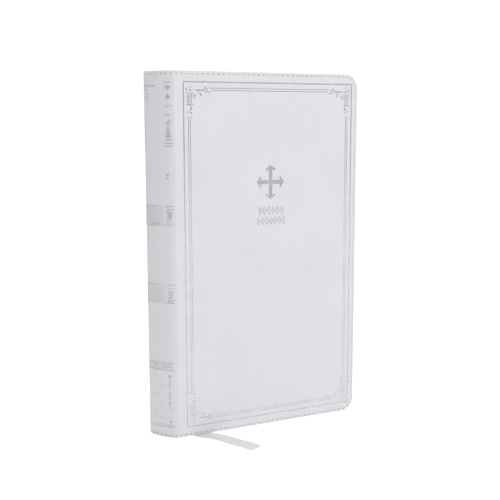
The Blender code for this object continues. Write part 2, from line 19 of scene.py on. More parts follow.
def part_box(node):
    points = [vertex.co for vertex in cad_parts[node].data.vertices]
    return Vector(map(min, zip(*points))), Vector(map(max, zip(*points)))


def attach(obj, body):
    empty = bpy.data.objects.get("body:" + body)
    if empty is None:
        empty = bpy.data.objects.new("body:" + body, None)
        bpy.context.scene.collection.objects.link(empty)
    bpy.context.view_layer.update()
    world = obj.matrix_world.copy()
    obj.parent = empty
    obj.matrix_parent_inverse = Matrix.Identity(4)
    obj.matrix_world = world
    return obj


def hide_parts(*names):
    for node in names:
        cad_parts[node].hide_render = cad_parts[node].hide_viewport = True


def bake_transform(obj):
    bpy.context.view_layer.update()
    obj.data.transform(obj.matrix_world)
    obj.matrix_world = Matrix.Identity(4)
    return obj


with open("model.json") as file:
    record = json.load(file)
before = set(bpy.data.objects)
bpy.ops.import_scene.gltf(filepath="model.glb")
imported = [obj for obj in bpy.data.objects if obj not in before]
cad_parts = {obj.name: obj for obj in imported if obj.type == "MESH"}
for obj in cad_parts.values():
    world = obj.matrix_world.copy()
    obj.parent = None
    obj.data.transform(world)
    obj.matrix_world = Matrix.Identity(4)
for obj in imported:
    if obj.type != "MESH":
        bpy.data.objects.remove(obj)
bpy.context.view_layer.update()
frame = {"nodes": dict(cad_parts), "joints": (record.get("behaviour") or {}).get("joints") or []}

MM = 0.001
WELD = 0.0006 * MM
EPSILON = 1e-7

# Places taken from the frame
JOINTS = {joint["name"]: joint for joint in frame["joints"]}
HALF = -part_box("front_cover_skin")[0].y
FORE_EDGE, _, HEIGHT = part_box("front_cover_skin")[1]
HINGE_X = JOINTS["front_cover_joint"]["pos_m"][0]
BOARD_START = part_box("front_board")[0].x
SECTION_LOW, SECTION_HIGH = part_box("section_1")
RIBBON_EXIT = Vector(JOINTS["ribbon_bend"]["pos_m"])
FLOOR_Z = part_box("ribbon_tail")[0].z

# The front cover lies on the -Y side, the back cover on the +Y side
SIDES = {"front": -1, "back": 1}

# Parts of a cover's outline near the head, and the parts that they mirror
LOWER_TWIN = {"high": "low", "head": "tail"}

# Rounded back, seen from above: a superellipse with a softened crest
SHOULDER_X = 10.4 * MM
BULGE = 10.8 * MM
POWER = 1.2
CREST = 2.0 * MM
BACK_STEPS = 104
LEG_STEPS = 8
SHOULDER_ROUND = 2.6 * MM

# Case
SKIN = 0.8 * MM
FLAP = 0.3 * MM
FLAP_WIDTH = 14.0 * MM
FLAP_CORNER = 3.5 * MM
COVER_THICKNESS = 1.94 * MM
SPINE_THICKNESS = 1.64 * MM
CORNER_RADIUS = 8.5 * MM
EDGE_RADIUS = 0.72 * MM
INNER_EDGE_RADIUS = 0.35 * MM
FACE_INSET_X = 3.7 * MM
FACE_INSET_Z = 5.0 * MM
JOINT_STEPS = 16
FACE_STEP = 6.0 * MM
INSIDE_STEP = 20.0 * MM
PASTEDOWN_RADIUS = 4.5 * MM

# Seam
SEAM_INSET = 1.6 * MM
STITCH_PITCH = 3.2 * MM
SEAM_STEPS = 8
THREAD = 0.24 * MM
SEAM_SINK = 0.13 * MM
SEAM_SPREAD = 0.45 * MM
NEEDLE_SINK = 0.38 * MM
NEEDLE_SPREAD = 0.30 * MM
NEEDLE_POWER = 5
STITCH_STEPS = 11
INNER_SINK = 0.35

# Foil
STAMP_DEPTH = 0.08 * MM
FOIL = 0.03 * MM
GAP = 0.01 * MM

# Stamped shapes, in millimetres
FRAME_LINE = 0.7
FINE_LINE = 0.45
FINE_ACROSS = (2.85, 4.0)
FINE_UP = (3.35, 4.65)
CORNER_ALONG = 17.1
CORNER_UP = 20.5
CROSS_SHIFT = 0.4
TITLE_LINE = 0.55
STRING_Y = 13.85
TAIL_STRING_Y = 13.0

# Leaves and bands
LEAF_WIDTH = 118.5 * MM
LEAF_SLICE = 0.45 * MM
LEAF_SHIFT = 0.05 * MM
FOLD_HOLLOW = 0.35 * MM
BACK_SINK = 2.69 * MM
BLOCK_HALF = 13.88 * MM
PAGE_RADIUS = 6.0 * MM
LEAF_BEND = 16.0 * MM
LEAF_COLUMNS = (0.0, 0.03, 0.06, 0.09, 0.12, 0.15, 0.2, 0.3, 0.5, 0.75)
FOLD_STEPS = 18
CORNER_STEPS = 10
BAND_STEPS = 260
BAND_SIDES = 10
BAND_RIB = 0.5 * MM

# Ribbon
RIBBON_WIDTH = 9.8 * MM
RIBBON = 0.2 * MM
RIBBON_COLUMNS = 10
RIBBON_ROWS = (70, 90)
RIBBON_TURN = 0.16
SLOT_GAP = 0.25 * MM
TABLE_GAP = 0.03 * MM
SELVEDGE = 0.05 * MM
FRAY = 0.25 * MM
CUPPING = 0.35 * MM

# Printed pages
TEXT_PITCH = 2.55 * MM
WORD = 1.5 * MM
TEXT_COLUMNS = ((27.0 * MM, 69.0 * MM), (75.0 * MM, 117.0 * MM))
TEXT_HEIGHT = (17.0 * MM, 192.0 * MM)

# Colours
# Leather: two tones, mixed by random clouding and by painted shade in the grain's creases
LEATHER = ((0.845, 0.840, 0.865), (0.775, 0.772, 0.800))
# Painted shade in the needle holes of the seams
NEEDLE_HOLE_SHADE = (0.07, 0.07, 0.075)
# Thread: its own colour, and painted shade in the grooves between its strands
SEAM_THREAD = ((0.90, 0.90, 0.90), (0.70, 0.70, 0.72))
SEWING_THREAD = ((0.82, 0.80, 0.74), (0.6, 0.58, 0.53))
COVER_FOIL = ((0.66, 0.66, 0.68), (0.52, 0.52, 0.54))
SPINE_FOIL = ((0.72, 0.71, 0.73), (0.54, 0.53, 0.55))
PAPER_LIGHT = (0.86, 0.86, 0.84)
# Painted shade in the low lines between the leaves of the cut page edges
PAPER_DARK = (0.60, 0.60, 0.58)
INK = (0.10, 0.10, 0.11)
ENDPAPER = ((0.80, 0.80, 0.79), (0.86, 0.86, 0.85))
# Satin: painted shade between the ribs, and the ribs themselves
SATIN = ((0.89, 0.89, 0.885), (0.96, 0.96, 0.955))
COTTON = ((0.84, 0.84, 0.83), (0.60, 0.61, 0.63))
GREY_BOARD = ((0.30, 0.28, 0.25), (0.46, 0.43, 0.39))
KRAFT = ((0.44, 0.34, 0.22), (0.62, 0.52, 0.38))
GAUZE = ((0.50, 0.48, 0.43), (0.78, 0.76, 0.70))
FLOOR = ((0.86, 0.86, 0.87), (0.89, 0.89, 0.90))

# Studio: lights are (name, place, size, power, colour)
LIT_POINT = Vector((0.06, 0.0, 0.10))
LIGHTS = (
    ("key_softbox", (0.75, -0.95, 0.75), (0.9, 0.9), 5.15, (1.0, 1.0, 1.0)),
    ("fill_softbox", (-0.95, -0.7, 0.55), (0.9, 1.1), 1.45, (1.0, 0.975, 0.945)),
    ("top_softbox", (0.1, 0.3, 1.1), (1.0, 1.0), 1.5, (1.0, 1.0, 1.0)),
)
HORIZON_LIGHT = 0.14
ZENITH_LIGHT = 0.75
BACKDROP = 1.1
SKY = (0.985, 0.985, 1.0, 1.0)
FLOOR_GLOW = 0.5
FLOOR_BOUNCE = 0.30
FLOOR_SIZE = 6.0
FLOOR_GAP = 0.02 * MM

# Camera
LENS = 63.74
SENSOR = 36.0
YAW, PITCH, ROLL = (math.radians(angle) for angle in (26.065, 8.33, -0.12))
CAMERA_PLACE = (-170.7 * MM, -483.7 * MM, 185.4 * MM)

# Attributes that the materials read
REST = "rest_place"
ALONG = "thread_place"
# How much painted shade each vertex gets at the needle holes, 0 to 1
HOLE_SHADE = "needle_hole"

random.seed(4)


# --- meshes --------------------------------------------


def store(mesh, name, kind, field, values):
    """Values on a mesh's vertices."""
    layer = mesh.attributes.new(name, kind, "POINT")
    for item, value in zip(layer.data, values):
        setattr(item, field, value)


def new_piece(
    name, node, vertices, faces, materials, slot, body=None, sharp=40.0, extra=None, holes=None, weld=False
):
    """A smooth mesh that stands for a CAD node; it keeps its rest position, for its material to read.

    It rides on a body if one is given.
    """
    mesh = bpy.data.meshes.new(name)
    mesh.from_pydata([tuple(v) for v in vertices], [], faces)
    if extra:
        store(mesh, ALONG, "FLOAT_VECTOR", "vector", extra)
    # holes: painted shade at the needle holes, kept for the leather's colour
    if holes:
        store(mesh, HOLE_SHADE, "FLOAT", "value", holes)
    work = bmesh.new()
    work.from_mesh(mesh)
    if weld:
        bmesh.ops.remove_doubles(work, verts=work.verts, dist=WELD)
        bmesh.ops.delete(work, geom=[v for v in work.verts if not v.link_faces], context="VERTS")
        bmesh.ops.holes_fill(work, edges=[e for e in work.edges if e.is_boundary], sides=0)
    bmesh.ops.recalc_face_normals(work, faces=work.faces)
    work.to_mesh(mesh)
    work.free()
    mesh.shade_smooth()
    mesh.set_sharp_from_angle(angle=math.radians(sharp))
    store(mesh, REST, "FLOAT_VECTOR", "vector", [vertex.co for vertex in mesh.vertices])
    for material in materials:
        mesh.materials.append(material)
    piece = bpy.data.objects.new(name, mesh)
    bpy.context.scene.collection.objects.link(piece)
    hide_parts(node)
    if body:
        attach(piece, body)
    return piece


def grid_faces(rows, columns, start=0, close=False):
    """Quads of a grid laid out row by row; close joins the last column to the first."""
    faces = []
    for row in range(rows - 1):
        for column in range(columns if close else columns - 1):
            after = (column + 1) % columns
            a, b = start + row * columns, start + (row + 1) * columns
            faces.append((a + column, a + after, b + after, b + column))
    return faces


def capped_faces(rings, count):
    """Faces of a stack of closed rings with one face at each end."""
    last = (rings - 1) * count
    caps = [tuple(range(count))[::-1], tuple(range(last, last + count))]
    return grid_faces(rings, count, close=True) + caps


def striped_faces(rings, count):
    """Faces of a stack of closed rings whose ends are strips between each ring's first and second half."""
    faces = grid_faces(rings, count, close=True)
    for base in (0, (rings - 1) * count):
        for i in range((count - 1) // 2):
            corners = dict.fromkeys((i, i + 1, count - 2 - i, count - 1 - i))
            faces.append(tuple(base + corner for corner in corners))
    return faces


def heading(path, i):
    return (path[min(i + 1, len(path) - 1)] - path[max(i - 1, 0)]).normalized()


def tube(path, sides, radius_at, squash=1.0, up=Vector((0.0, 0.0, 1.0))):
    """A capped tube through points; squash flattens it across the up direction."""
    vertices = []
    for i, point in enumerate(path):
        ahead = heading(path, i)
        side = ahead.cross(up).normalized()
        rise = side.cross(ahead).normalized()
        for step in range(sides):
            angle = 2.0 * math.pi * step / sides
            way = math.cos(angle) * side + squash * math.sin(angle) * rise
            vertices.append(point + radius_at(i, angle) * way)
    return vertices, capped_faces(len(path), sides)


def merged(parts):
    vertices, faces = [], []
    for some, more in parts:
        start = len(vertices)
        vertices.extend(some)
        faces.extend(tuple(start + i for i in face) for face in more)
    return vertices, faces


def lengths(points):
    """Distance along a line at each of its points."""
    out = [0.0]
    for a, b in zip(points, points[1:]):
        out.append(out[-1] + math.dist(a, b))
    return out


def point_at(points, along, mark):
    """The point at a distance along a line."""
    i = min(max(bisect.bisect_right(along, mark), 1), len(points) - 1)
    return Vector(points[i - 1]).lerp(Vector(points[i]), (mark - along[i - 1]) / (along[i] - along[i - 1]))


def spaced(low, high, count):
    """Evenly spaced values from low to high, count steps apart."""
    return [low + (high - low) * i / count for i in range(count + 1)]


def ease(value):
    value = min(1.0, max(0.0, value))
    return value * value * (3.0 - 2.0 * value)


def arc(x, z, radius, start, steps):
    """A quarter circle counter-clockwise round (x, z), from start degrees."""
    angles = spaced(math.radians(start), math.radians(start + 90.0), steps)
    return [(x + radius * math.cos(angle), z + radius * math.sin(angle)) for angle in angles]


# --- materials -----------------------------------------


class Nodes:
    """A short way to write the nodes of a material or a world."""

    def __init__(self, owner):
        self.owner = owner
        owner.use_nodes = True
        self.tree = owner.node_tree

    def put(self, value, node, name):
        """Sets an input, or links it to another node's output."""
        if isinstance(value, bpy.types.NodeSocket):
            self.tree.links.new(value, node.inputs[name])
        else:
            node.inputs[name].default_value = value

    def add(self, kind, output, **values):
        """The output of a new node; values name its properties, or its inputs with _ for a space."""
        node = self.tree.nodes.new("ShaderNode" + kind)
        for key, value in values.items():
            if hasattr(node, key):
                setattr(node, key, value)
            else:
                self.put(value, node, key.replace("_", " "))
        return node.outputs[output]

    def place(self, attribute):
        """Rest position in metres: the stored attribute of a built piece, or a CAD node's own vertices."""
        if attribute is None:
            return self.add("TexCoord", "Object")
        return self.add("Attribute", "Vector", attribute_name=attribute)

    def parts(self, vector):
        return self.add("SeparateXYZ", "X", Vector=vector).node.outputs

    def scaled(self, vector, *scale):
        return self.add("Mapping", "Vector", Vector=vector, Scale=scale)

    def noise(self, vector, scale, detail=3.0, rough=0.55):
        return self.add("TexNoise", "Fac", Vector=vector, Scale=scale, Detail=detail, Roughness=rough)

    def cells(self, vector, scale, feature="F1", jitter=1.0):
        looks = {"feature": feature, "Randomness": jitter}
        return self.add("TexVoronoi", "Distance", Vector=vector, Scale=scale, **looks)

    def wave(self, vector, scale, direction="X", distortion=0.0):
        looks = {"bands_direction": direction, "Distortion": distortion}
        return self.add("TexWave", "Fac", Vector=vector, Scale=scale, **looks)

    def range(self, value, low, high, to_low=0.0, to_high=1.0):
        limits = {"From_Min": low, "From_Max": high, "To_Min": to_low, "To_Max": to_high}
        return self.add("MapRange", "Result", Value=value, **limits)

    def maths(self, operation, first, second=0.0):
        out = self.add("Math", "Value", operation=operation)
        self.put(first, out.node, 0)
        self.put(second, out.node, 1)
        return out

    def total(self, *terms):
        """The sum of (value, weight) pairs."""
        weighted = [self.maths("MULTIPLY", value, weight) for value, weight in terms]
        return functools.reduce(lambda a, b: self.maths("ADD", a, b), weighted)

    def product(self, *values):
        return functools.reduce(lambda a, b: self.maths("MULTIPLY", a, b), values)

    def between(self, value, low, high):
        return self.product(self.maths("GREATER_THAN", value, low), self.maths("LESS_THAN", value, high))

    def mix(self, factor, first, second):
        out = self.add("Mix", 2, data_type="RGBA", Factor=factor)
        for slot, colour in ((6, first), (7, second)):
            self.put((*colour, 1.0) if isinstance(colour, tuple) else colour, out.node, slot)
        return out

    def bump(self, height, strength, distance, under=None):
        """A relief, on top of another one if under is given."""
        below = {"Normal": under} if under else {}
        return self.add("Bump", "Normal", Height=height, Strength=strength, Distance=distance, **below)

    def finish(self, colour, roughness, relief=None, strength=0.0, depth=0.0, under=None, **looks):
        """Fills in the main shader and gives back the material; depth is the relief's, in millimetres."""
        looks.update(Base_Color=colour, Roughness=roughness)
        if relief:
            looks["Normal"] = self.bump(relief, strength, depth * MM, under)
        for key, value in looks.items():
            self.put(value, self.tree.nodes["Principled BSDF"], key.replace("_", " "))
        return self.owner


def painted(name, attribute=REST):
    """The nodes of a new material, and the place that its patterns follow."""
    nodes = Nodes(bpy.data.materials.new(name))
    return nodes, nodes.place(attribute)


def leather_material():
    """White leather-like skin: fine pebbled grain with painted shade in its creases, faint greying in it,
    and painted shade in the needle holes.
    """
    n, place = painted("leathersoft")
    crease = n.cells(place, 620.0, "DISTANCE_TO_EDGE", 0.9)
    grain = n.total(
        (n.cells(place, 1500.0, "SMOOTH_F1"), -0.6),
        (n.range(crease, 0.0, 0.12), 0.45),
        (n.noise(place, 900.0, 2.0), 0.5),
    )
    cloud = n.range(n.noise(place, 38.0, 4.0, 0.6), 0.3, 0.7)
    # Painted shade: the colour darkens in the creases of the grain
    crease_shade = n.range(crease, 0.0, 0.05, 0.55, 0.0)
    colour = n.mix(n.total((cloud, 0.45), (crease_shade, 0.35)), *LEATHER)
    # Painted shade in the needle holes, uneven at random
    hole = n.add("Attribute", "Fac", attribute_name=HOLE_SHADE)
    uneven = n.range(n.noise(place, 70.0, 1.0), 0.35, 0.65, 0.35, 1.0)
    # The light from the right reaches into the seam near the fore-edge, so less shade is painted in the
    # holes there
    less_shade_at_fore_edge = n.range(n.parts(place)["X"], FORE_EDGE - 5.0 * MM, FORE_EDGE - 2.5 * MM, 1.0, 0.35)
    colour = n.mix(n.product(hole, n.product(uneven, less_shade_at_fore_edge)), colour, NEEDLE_HOLE_SHADE)
    rough = n.range(n.noise(place, 320.0, 3.0), 0.3, 0.7, 0.46, 0.62)
    looks = {"Specular_IOR_Level": 0.35, "Sheen_Weight": 0.06, "Sheen_Roughness": 0.4}
    undulation = n.bump(n.noise(place, 26.0, 2.0), 0.10, 1.2 * MM)
    return n.finish(colour, rough, grain, 0.28, 0.10, undulation, **looks)


def thread_material(name, attribute, colours, twist):
    """Twisted thread: slanting strands with painted shade in the grooves between them, and a soft fibre
    fuzz.
    """
    n, place = painted(name, attribute)
    strands = n.wave(place, twist, "DIAGONAL", 0.6)
    height = n.total((strands, 0.8), (n.noise(place, 5200.0, 3.0), 0.4))
    # Painted shade: darker in the grooves between the strands
    colour = n.mix(n.range(strands, 0.1, 0.9, 0.8, 0.0), *colours)
    return n.finish(colour, 0.62, height, 0.5, 0.05, Sheen_Weight=0.25, Sheen_Roughness=0.5)


def foil_material(name, colours, roughness):
    """Hot-stamped silver: satin metal, uneven where the grain below shows through."""
    n, place = painted(name)
    grain = n.noise(place, 2600.0, 3.0)
    colour = n.mix(n.range(n.noise(place, 120.0, 4.0, 0.6), 0.35, 0.65), *colours)
    rough = n.range(grain, 0.3, 0.7, roughness, roughness + 0.1)
    return n.finish(colour, rough, grain, 0.25, 0.03, Metallic=1.0)


def page_edge_material():
    """Cut edges of thin paper: fine lines through the thickness and uneven bands between gatherings, with
    painted shade where their relief is low.
    """
    n, place = painted("page_edges")
    leaves = n.noise(n.scaled(place, 30.0, 14000.0, 30.0), 1.0, 2.0, 0.7)
    bundles = n.noise(n.scaled(place, 12.0, 2300.0, 12.0), 1.0, 2.0, 0.6)
    lines = n.total((leaves, 0.65), (bundles, 0.35))
    # Painted shade: darker where the relief of the lines is low
    colour = n.mix(n.range(lines, 0.36, 0.64), PAPER_DARK, PAPER_LIGHT)
    height = n.total((lines, 1.0), (n.noise(place, 4200.0, 2.0), 0.15))
    return n.finish(colour, 0.85, height, 0.45, 0.08, Specular_IOR_Level=0.2)


def page_face_material():
    """A page in two columns of small set text, shown as broken grey rules with no letters."""
    n, place = painted("printed_pages")
    x, _, z = n.parts(place)
    rows = n.maths("DIVIDE", z, TEXT_PITCH)
    from_middle = n.maths("ABSOLUTE", n.maths("SUBTRACT", n.maths("FRACT", rows), 0.5))
    own_words = n.product(n.maths("FLOOR", rows), 7.3)
    spot = n.add("CombineXYZ", "Vector", X=n.maths("DIVIDE", x, WORD), Y=own_words)
    words = n.range(n.noise(spot, 1.0, 1.0), 0.40, 0.46)
    left, right = (n.between(x, *column) for column in TEXT_COLUMNS)
    columns = n.product(n.maths("ADD", left, right), n.between(z, *TEXT_HEIGHT))
    ink = n.product(n.maths("LESS_THAN", from_middle, 0.24), words, columns, 0.72)
    fibre = n.noise(place, 2600.0, 4.0, 0.6)
    return n.finish(n.mix(ink, PAPER_LIGHT, INK), 0.8, fibre, 0.15, 0.03, Specular_IOR_Level=0.2)


def endpaper_material():
    n, place = painted("endpaper")
    fibre = n.noise(place, 1900.0, 5.0, 0.65)
    mixed = n.total((fibre, 0.5), (n.noise(place, 60.0, 3.0), 0.5))
    colour = n.mix(n.range(mixed, 0.35, 0.65), *ENDPAPER)
    return n.finish(colour, 0.82, fibre, 0.2, 0.04, Specular_IOR_Level=0.2)


def satin_material():
    """Woven satin: a soft sheen along the ribbon, and fine ribs across it with painted shade between them.
    """
    n, place = painted("ribbon_satin", ALONG)
    height = n.total((n.wave(place, 2600.0), 0.6), (n.wave(place, 1500.0, "Y", 0.5), 0.4))
    # Painted shade: darker in the low places between the ribs
    colour = n.mix(n.range(height, 0.2, 0.8), *SATIN)
    looks = {"Sheen_Weight": 0.35, "Sheen_Roughness": 0.35, "Anisotropic": 0.6}
    return n.finish(colour, 0.34, height, 0.25, 0.03, **looks)


def band_material():
    """Cotton wound over a core: white and grey wraps in turn."""
    n, place = painted("band_cotton", ALONG)
    colour = n.mix(n.range(n.wave(place, 620.0), 0.35, 0.65), *COTTON)
    fuzz = n.noise(n.place(REST), 4000.0, 3.0)
    height = n.total((n.wave(place, 3600.0, "X", 1.0), 0.6), (fuzz, 0.4))
    return n.finish(colour, 0.75, height, 0.5, 0.06, Sheen_Weight=0.3)


def board_material():
    n, place = painted("grey_board", None)
    fibre = n.noise(place, 900.0, 6.0, 0.7)
    mixed = n.total((fibre, 0.7), (n.cells(place, 420.0), 0.3))
    return n.finish(n.mix(n.range(mixed, 0.3, 0.7), *GREY_BOARD), 0.92, fibre, 0.4, 0.08)


def kraft_material():
    n, place = painted("kraft_lining", None)
    fibre = n.noise(n.scaled(place, 400.0, 400.0, 90.0), 1.0, 6.0, 0.7)
    return n.finish(n.mix(n.range(fibre, 0.3, 0.7), *KRAFT), 0.85, fibre, 0.3, 0.05)


def gauze_material():
    """Open-weave mull: crossed threads."""
    n, place = painted("mull_gauze", None)
    height = n.maths("MAXIMUM", n.wave(place, 520.0, "Z"), n.wave(place, 520.0))
    return n.finish(n.mix(n.range(height, 0.3, 0.8), *GAUZE), 0.9, height, 0.6, 0.10)


def floor_material():
    """A pale floor that the camera sees brighter than it lights the book."""
    n, place = painted("studio_floor", None)
    seen = n.add("LightPath", "Is Camera Ray")
    glow = n.maths("ADD", n.product(seen, FLOOR_GLOW), FLOOR_BOUNCE)
    colour = n.mix(n.noise(place, 30.0, 2.0), *FLOOR)
    return n.finish(colour, 0.9, Emission_Color=(1.0, 1.0, 1.0, 1.0), Emission_Strength=glow)


leather = leather_material()
seam_thread = thread_material("seam_thread", REST, SEAM_THREAD, 2400.0)
cover_foil = foil_material("silver_foil_cover", COVER_FOIL, 0.20)
spine_foil = foil_material("silver_foil_spine", SPINE_FOIL, 0.38)
page_edges = page_edge_material()
page_faces = page_face_material()
endpaper = endpaper_material()
satin = satin_material()
band_cotton = band_material()


# --- shapes of the case --------------------------------


def back_x(y, sink_x=0.0, sink_y=0.0):
    """X of the rounded back at a distance y from the middle plane, for a surface sunk below the skin."""
    from_crest = math.hypot(y, CREST) - CREST
    to_shoulder = math.hypot(HALF - sink_y, CREST) - CREST
    share = max(0.0, 1.0 - (from_crest / to_shoulder) ** POWER)
    return SHOULDER_X - (BULGE - sink_x) * share ** (1.0 / POWER)


def needle_dip(inset, along):
    """1 in the middle of a needle hole, falling to 0 around it."""
    across = math.exp(-(((inset - SEAM_INSET) / NEEDLE_SPREAD) ** 2))
    return across * (0.5 + 0.5 * math.cos(2.0 * math.pi * along / STITCH_PITCH)) ** NEEDLE_POWER


def seam_sink(inset, along):
    """How far the skin is pulled in near the seam, deepest where the needle went through."""
    groove = math.exp(-(((inset - SEAM_INSET) / SEAM_SPREAD) ** 2))
    return SEAM_SINK * groove + NEEDLE_SINK * needle_dip(inset, along)


def edge_profile(thickness):
    """(inset, depth, side) from the face round the edge to the turned-in flap and back under the skin.

    side is 1 on the outer face, -1 on the inner one, and 0 where the seam doesn't reach.
    """
    face_insets = (3.0, 2.5, 2.2, 2.0, 1.85, 1.72, 1.6, 1.48, 1.35, 1.2, 1.0, 0.85)
    inner_insets = (0.8, 1.2, 1.45, 1.6, 1.75, 2.1, 3.2, 5.0, 8.0, 11.0)
    under_insets = (10.0, 5.0, 1.2, 0.8)
    points = [(inset * MM, 0.0, 1) for inset in face_insets]
    for x, z in arc(0.0, 0.0, EDGE_RADIUS, 0.0, 5):
        points.append((EDGE_RADIUS - z, EDGE_RADIUS - x, 0))
    for x, z in arc(0.0, 0.0, INNER_EDGE_RADIUS, 0.0, 3):
        points.append((INNER_EDGE_RADIUS - x, thickness - INNER_EDGE_RADIUS + z, 0))
    points += [(inset * MM, thickness, -1) for inset in inner_insets]
    tip = FLAP_WIDTH - 0.1 * MM
    points += [(tip, thickness, 0), (FLAP_WIDTH, thickness - FLAP / 2, 0), (tip, thickness - FLAP, 0)]
    points += [(inset * MM, thickness - FLAP, 0) for inset in under_insets]
    return points + [(SKIN, SKIN, 0), (2.5 * MM, SKIN, 0)]


def sunk(inset, depth, side, along):
    """Depth with the seam's pull: full on the outer face, slight on the inner one."""
    return depth + {1: 1.0, -1: -INNER_SINK, 0: 0.0}[side] * seam_sink(inset, along)


# --- spine skin ----------------------------------------


def back_line():
    """Sharp-shouldered points (x, y) round the spine's outside, from the front joint to the back joint."""
    leg = [(x, -HALF) for x in spaced(HINGE_X, SHOULDER_X, LEG_STEPS)[:-1]]
    ys = [HALF * math.sin(turn) for turn in spaced(-math.pi / 2, math.pi / 2, BACK_STEPS)]
    return leg + [(back_x(y), y) for y in ys] + [(x, -y) for x, y in reversed(leg)]


def softened(points):
    """The same points with the shoulders rounded: each is averaged over a short reach along the line."""
    along = lengths(points)
    out = []
    for (_, y), mark in zip(points, along):
        reach = min(SHOULDER_ROUND * ease(5.0 * abs(y) / HALF - 3.0), mark, along[-1] - mark)
        near = [point_at(points, along, place) for place in spaced(mark - reach, mark + reach, 8)]
        out.append(sum(near, Vector((0.0, 0.0))) / len(near))
    return out


SHARP_LINE = back_line()
SPINE_LINE = softened(SHARP_LINE)
SPINE_ALONG = lengths(SPINE_LINE)
SPINE_STITCHES = round(SPINE_ALONG[-1] / STITCH_PITCH)


def spine_point(i, depth):
    """Station i of the spine's outside sunk by a depth; layers share their stations, so they nest."""
    x, y = SHARP_LINE[i]
    shift = (SPINE_LINE[i] - Vector((x, y))) * max(0.0, 1.0 - depth / COVER_THICKNESS)
    if i < LEG_STEPS or i >= len(SHARP_LINE) - LEG_STEPS:
        return Vector((x, y - math.copysign(depth, y))) + shift
    inner_y = (HALF - depth) * y / HALF
    return Vector((back_x(inner_y, depth, depth), inner_y)) + shift


def spine_skin():
    """The spine's leather: turned in at the head and the tail, and cut square at both joints."""
    stretch = SPINE_STITCHES * STITCH_PITCH / SPINE_ALONG[-1]
    face = (FACE_INSET_Z, 20 * MM, 60 * MM)
    vertices, holes = [], []
    for i, (x, _) in enumerate(SHARP_LINE):
        legs = ease((x / SHOULDER_X - 0.6) / 0.4)
        mark = SPINE_ALONG[i] * stretch
        tail = [(*spine_point(i, 0.0), z, 0.0) for z in reversed(face)]
        for inset, depth, side in edge_profile(SPINE_THICKNESS + (COVER_THICKNESS - SPINE_THICKNESS) * legs):
            # Painted shade in the needle holes, on the outer face only
            hole = needle_dip(inset, mark) if side == 1 else 0.0
            tail.append((*spine_point(i, sunk(inset, depth, side, mark)), inset, hole))
        tail += [(*spine_point(i, SKIN), z, 0.0) for z in face]
        loop = tail + [(px, py, HEIGHT - z, hole) for px, py, z, hole in reversed(tail)]
        vertices.extend(point[:3] for point in loop)
        holes.extend(point[3] for point in loop)
    faces = capped_faces(len(SHARP_LINE), len(vertices) // len(SHARP_LINE))
    new_piece(
        "spine_leather", "spine_skin", vertices, faces, [leather], "leathersoft", "text_block", holes=holes
    )


# --- cover skins ---------------------------------------


def outline_stations():
    """Places round a cover's three free edges, from the tail's joint to the head's, and their whole length.

    Each place is (part of the outline, share of that part, distance along the seam).
    """
    leg, side = FORE_EDGE - CORNER_RADIUS - HINGE_X, HEIGHT - 2 * CORNER_RADIUS
    bend = (CORNER_RADIUS - SEAM_INSET) * math.pi / 2
    parts = ("tail", "low", "fore", "high", "head")
    starts = (0.0, leg, leg + bend, leg + bend + side, leg + 2 * bend + side, 2 * (leg + bend) + side)
    total, joint = starts[-1], BOARD_START - HINGE_X
    steps = round((total - 2 * joint) / (STITCH_PITCH / SEAM_STEPS))
    marks = spaced(0.0, joint, JOINT_STEPS)[:-1] + spaced(joint, total - joint, steps)
    marks += [total - mark for mark in reversed(marks[:JOINT_STEPS])]
    places = []
    for mark in marks:
        i = min(bisect.bisect_right(starts, mark), len(parts)) - 1
        share = (mark - starts[i]) / (starts[i + 1] - starts[i])
        places.append((parts[i], min(1.0, share), mark))
    return places, total


def outline_point(part, share, inset):
    """The place of a station on the outline drawn in by inset, as (x, z); the head mirrors the tail."""
    if part in LOWER_TWIN:
        x, z = outline_point(LOWER_TWIN[part], 1.0 - share, inset)
        return x, HEIGHT - z
    radius = max(CORNER_RADIUS - inset, FLAP_CORNER)
    x_turn, z_turn = FORE_EDGE - inset - radius, inset + radius
    if part == "fore":
        return FORE_EDGE - inset, z_turn + (HEIGHT - 2 * z_turn) * share
    if part == "low":
        angle = math.pi / 2 * share
        return x_turn + radius * math.sin(angle), z_turn - radius * math.cos(angle)
    leg, near = FORE_EDGE - CORNER_RADIUS - HINGE_X, BOARD_START - HINGE_X
    from_joint = leg * share
    if from_joint > near:
        from_joint = near + (from_joint - near) * (x_turn - BOARD_START) / (leg - near)
    return HINGE_X + from_joint, inset


def face_point(part, share):
    """The place of a station on the rectangle inside the seam."""
    if part in LOWER_TWIN:
        x, z = face_point(LOWER_TWIN[part], 1.0 - share)
        return x, HEIGHT - z
    right, x_turn = FORE_EDGE - FACE_INSET_X, FORE_EDGE - CORNER_RADIUS
    if part == "tail":
        return outline_point(part, share, 0.0)[0], FACE_INSET_Z
    if part == "fore":
        return right, CORNER_RADIUS + (HEIGHT - 2 * CORNER_RADIUS) * share
    first, second = min(1.0, 2.0 * share), max(0.0, 2.0 * share - 1.0)
    return x_turn + (right - x_turn) * first, FACE_INSET_Z + (CORNER_RADIUS - FACE_INSET_Z) * second


def spread_points(left, right, bottom, top, step):
    """An even grid of points strictly inside a rectangle."""
    columns = max(2, round((right - left) / step))
    rows = max(2, round((top - bottom) / step))
    zs = spaced(bottom, top, rows)[1:-1]
    return [(x, z) for x in spaced(left, right, columns)[1:-1] for z in zs]


def wound(shape):
    """The same outline, counter-clockwise."""
    area = sum(a[0] * b[1] - b[0] * a[1] for a, b in zip(shape, shape[1:] + shape[:1]))
    return shape if area > 0.0 else shape[::-1]


def edge_users(triangles, labels):
    """For each edge of some triangles, the labels of the triangles that share it."""
    users = {}
    for triangle, label in zip(triangles, labels):
        for a, b in zip(triangle, triangle[1:] + triangle[:1]):
            users.setdefault((min(a, b), max(a, b)), []).append(label)
    return users


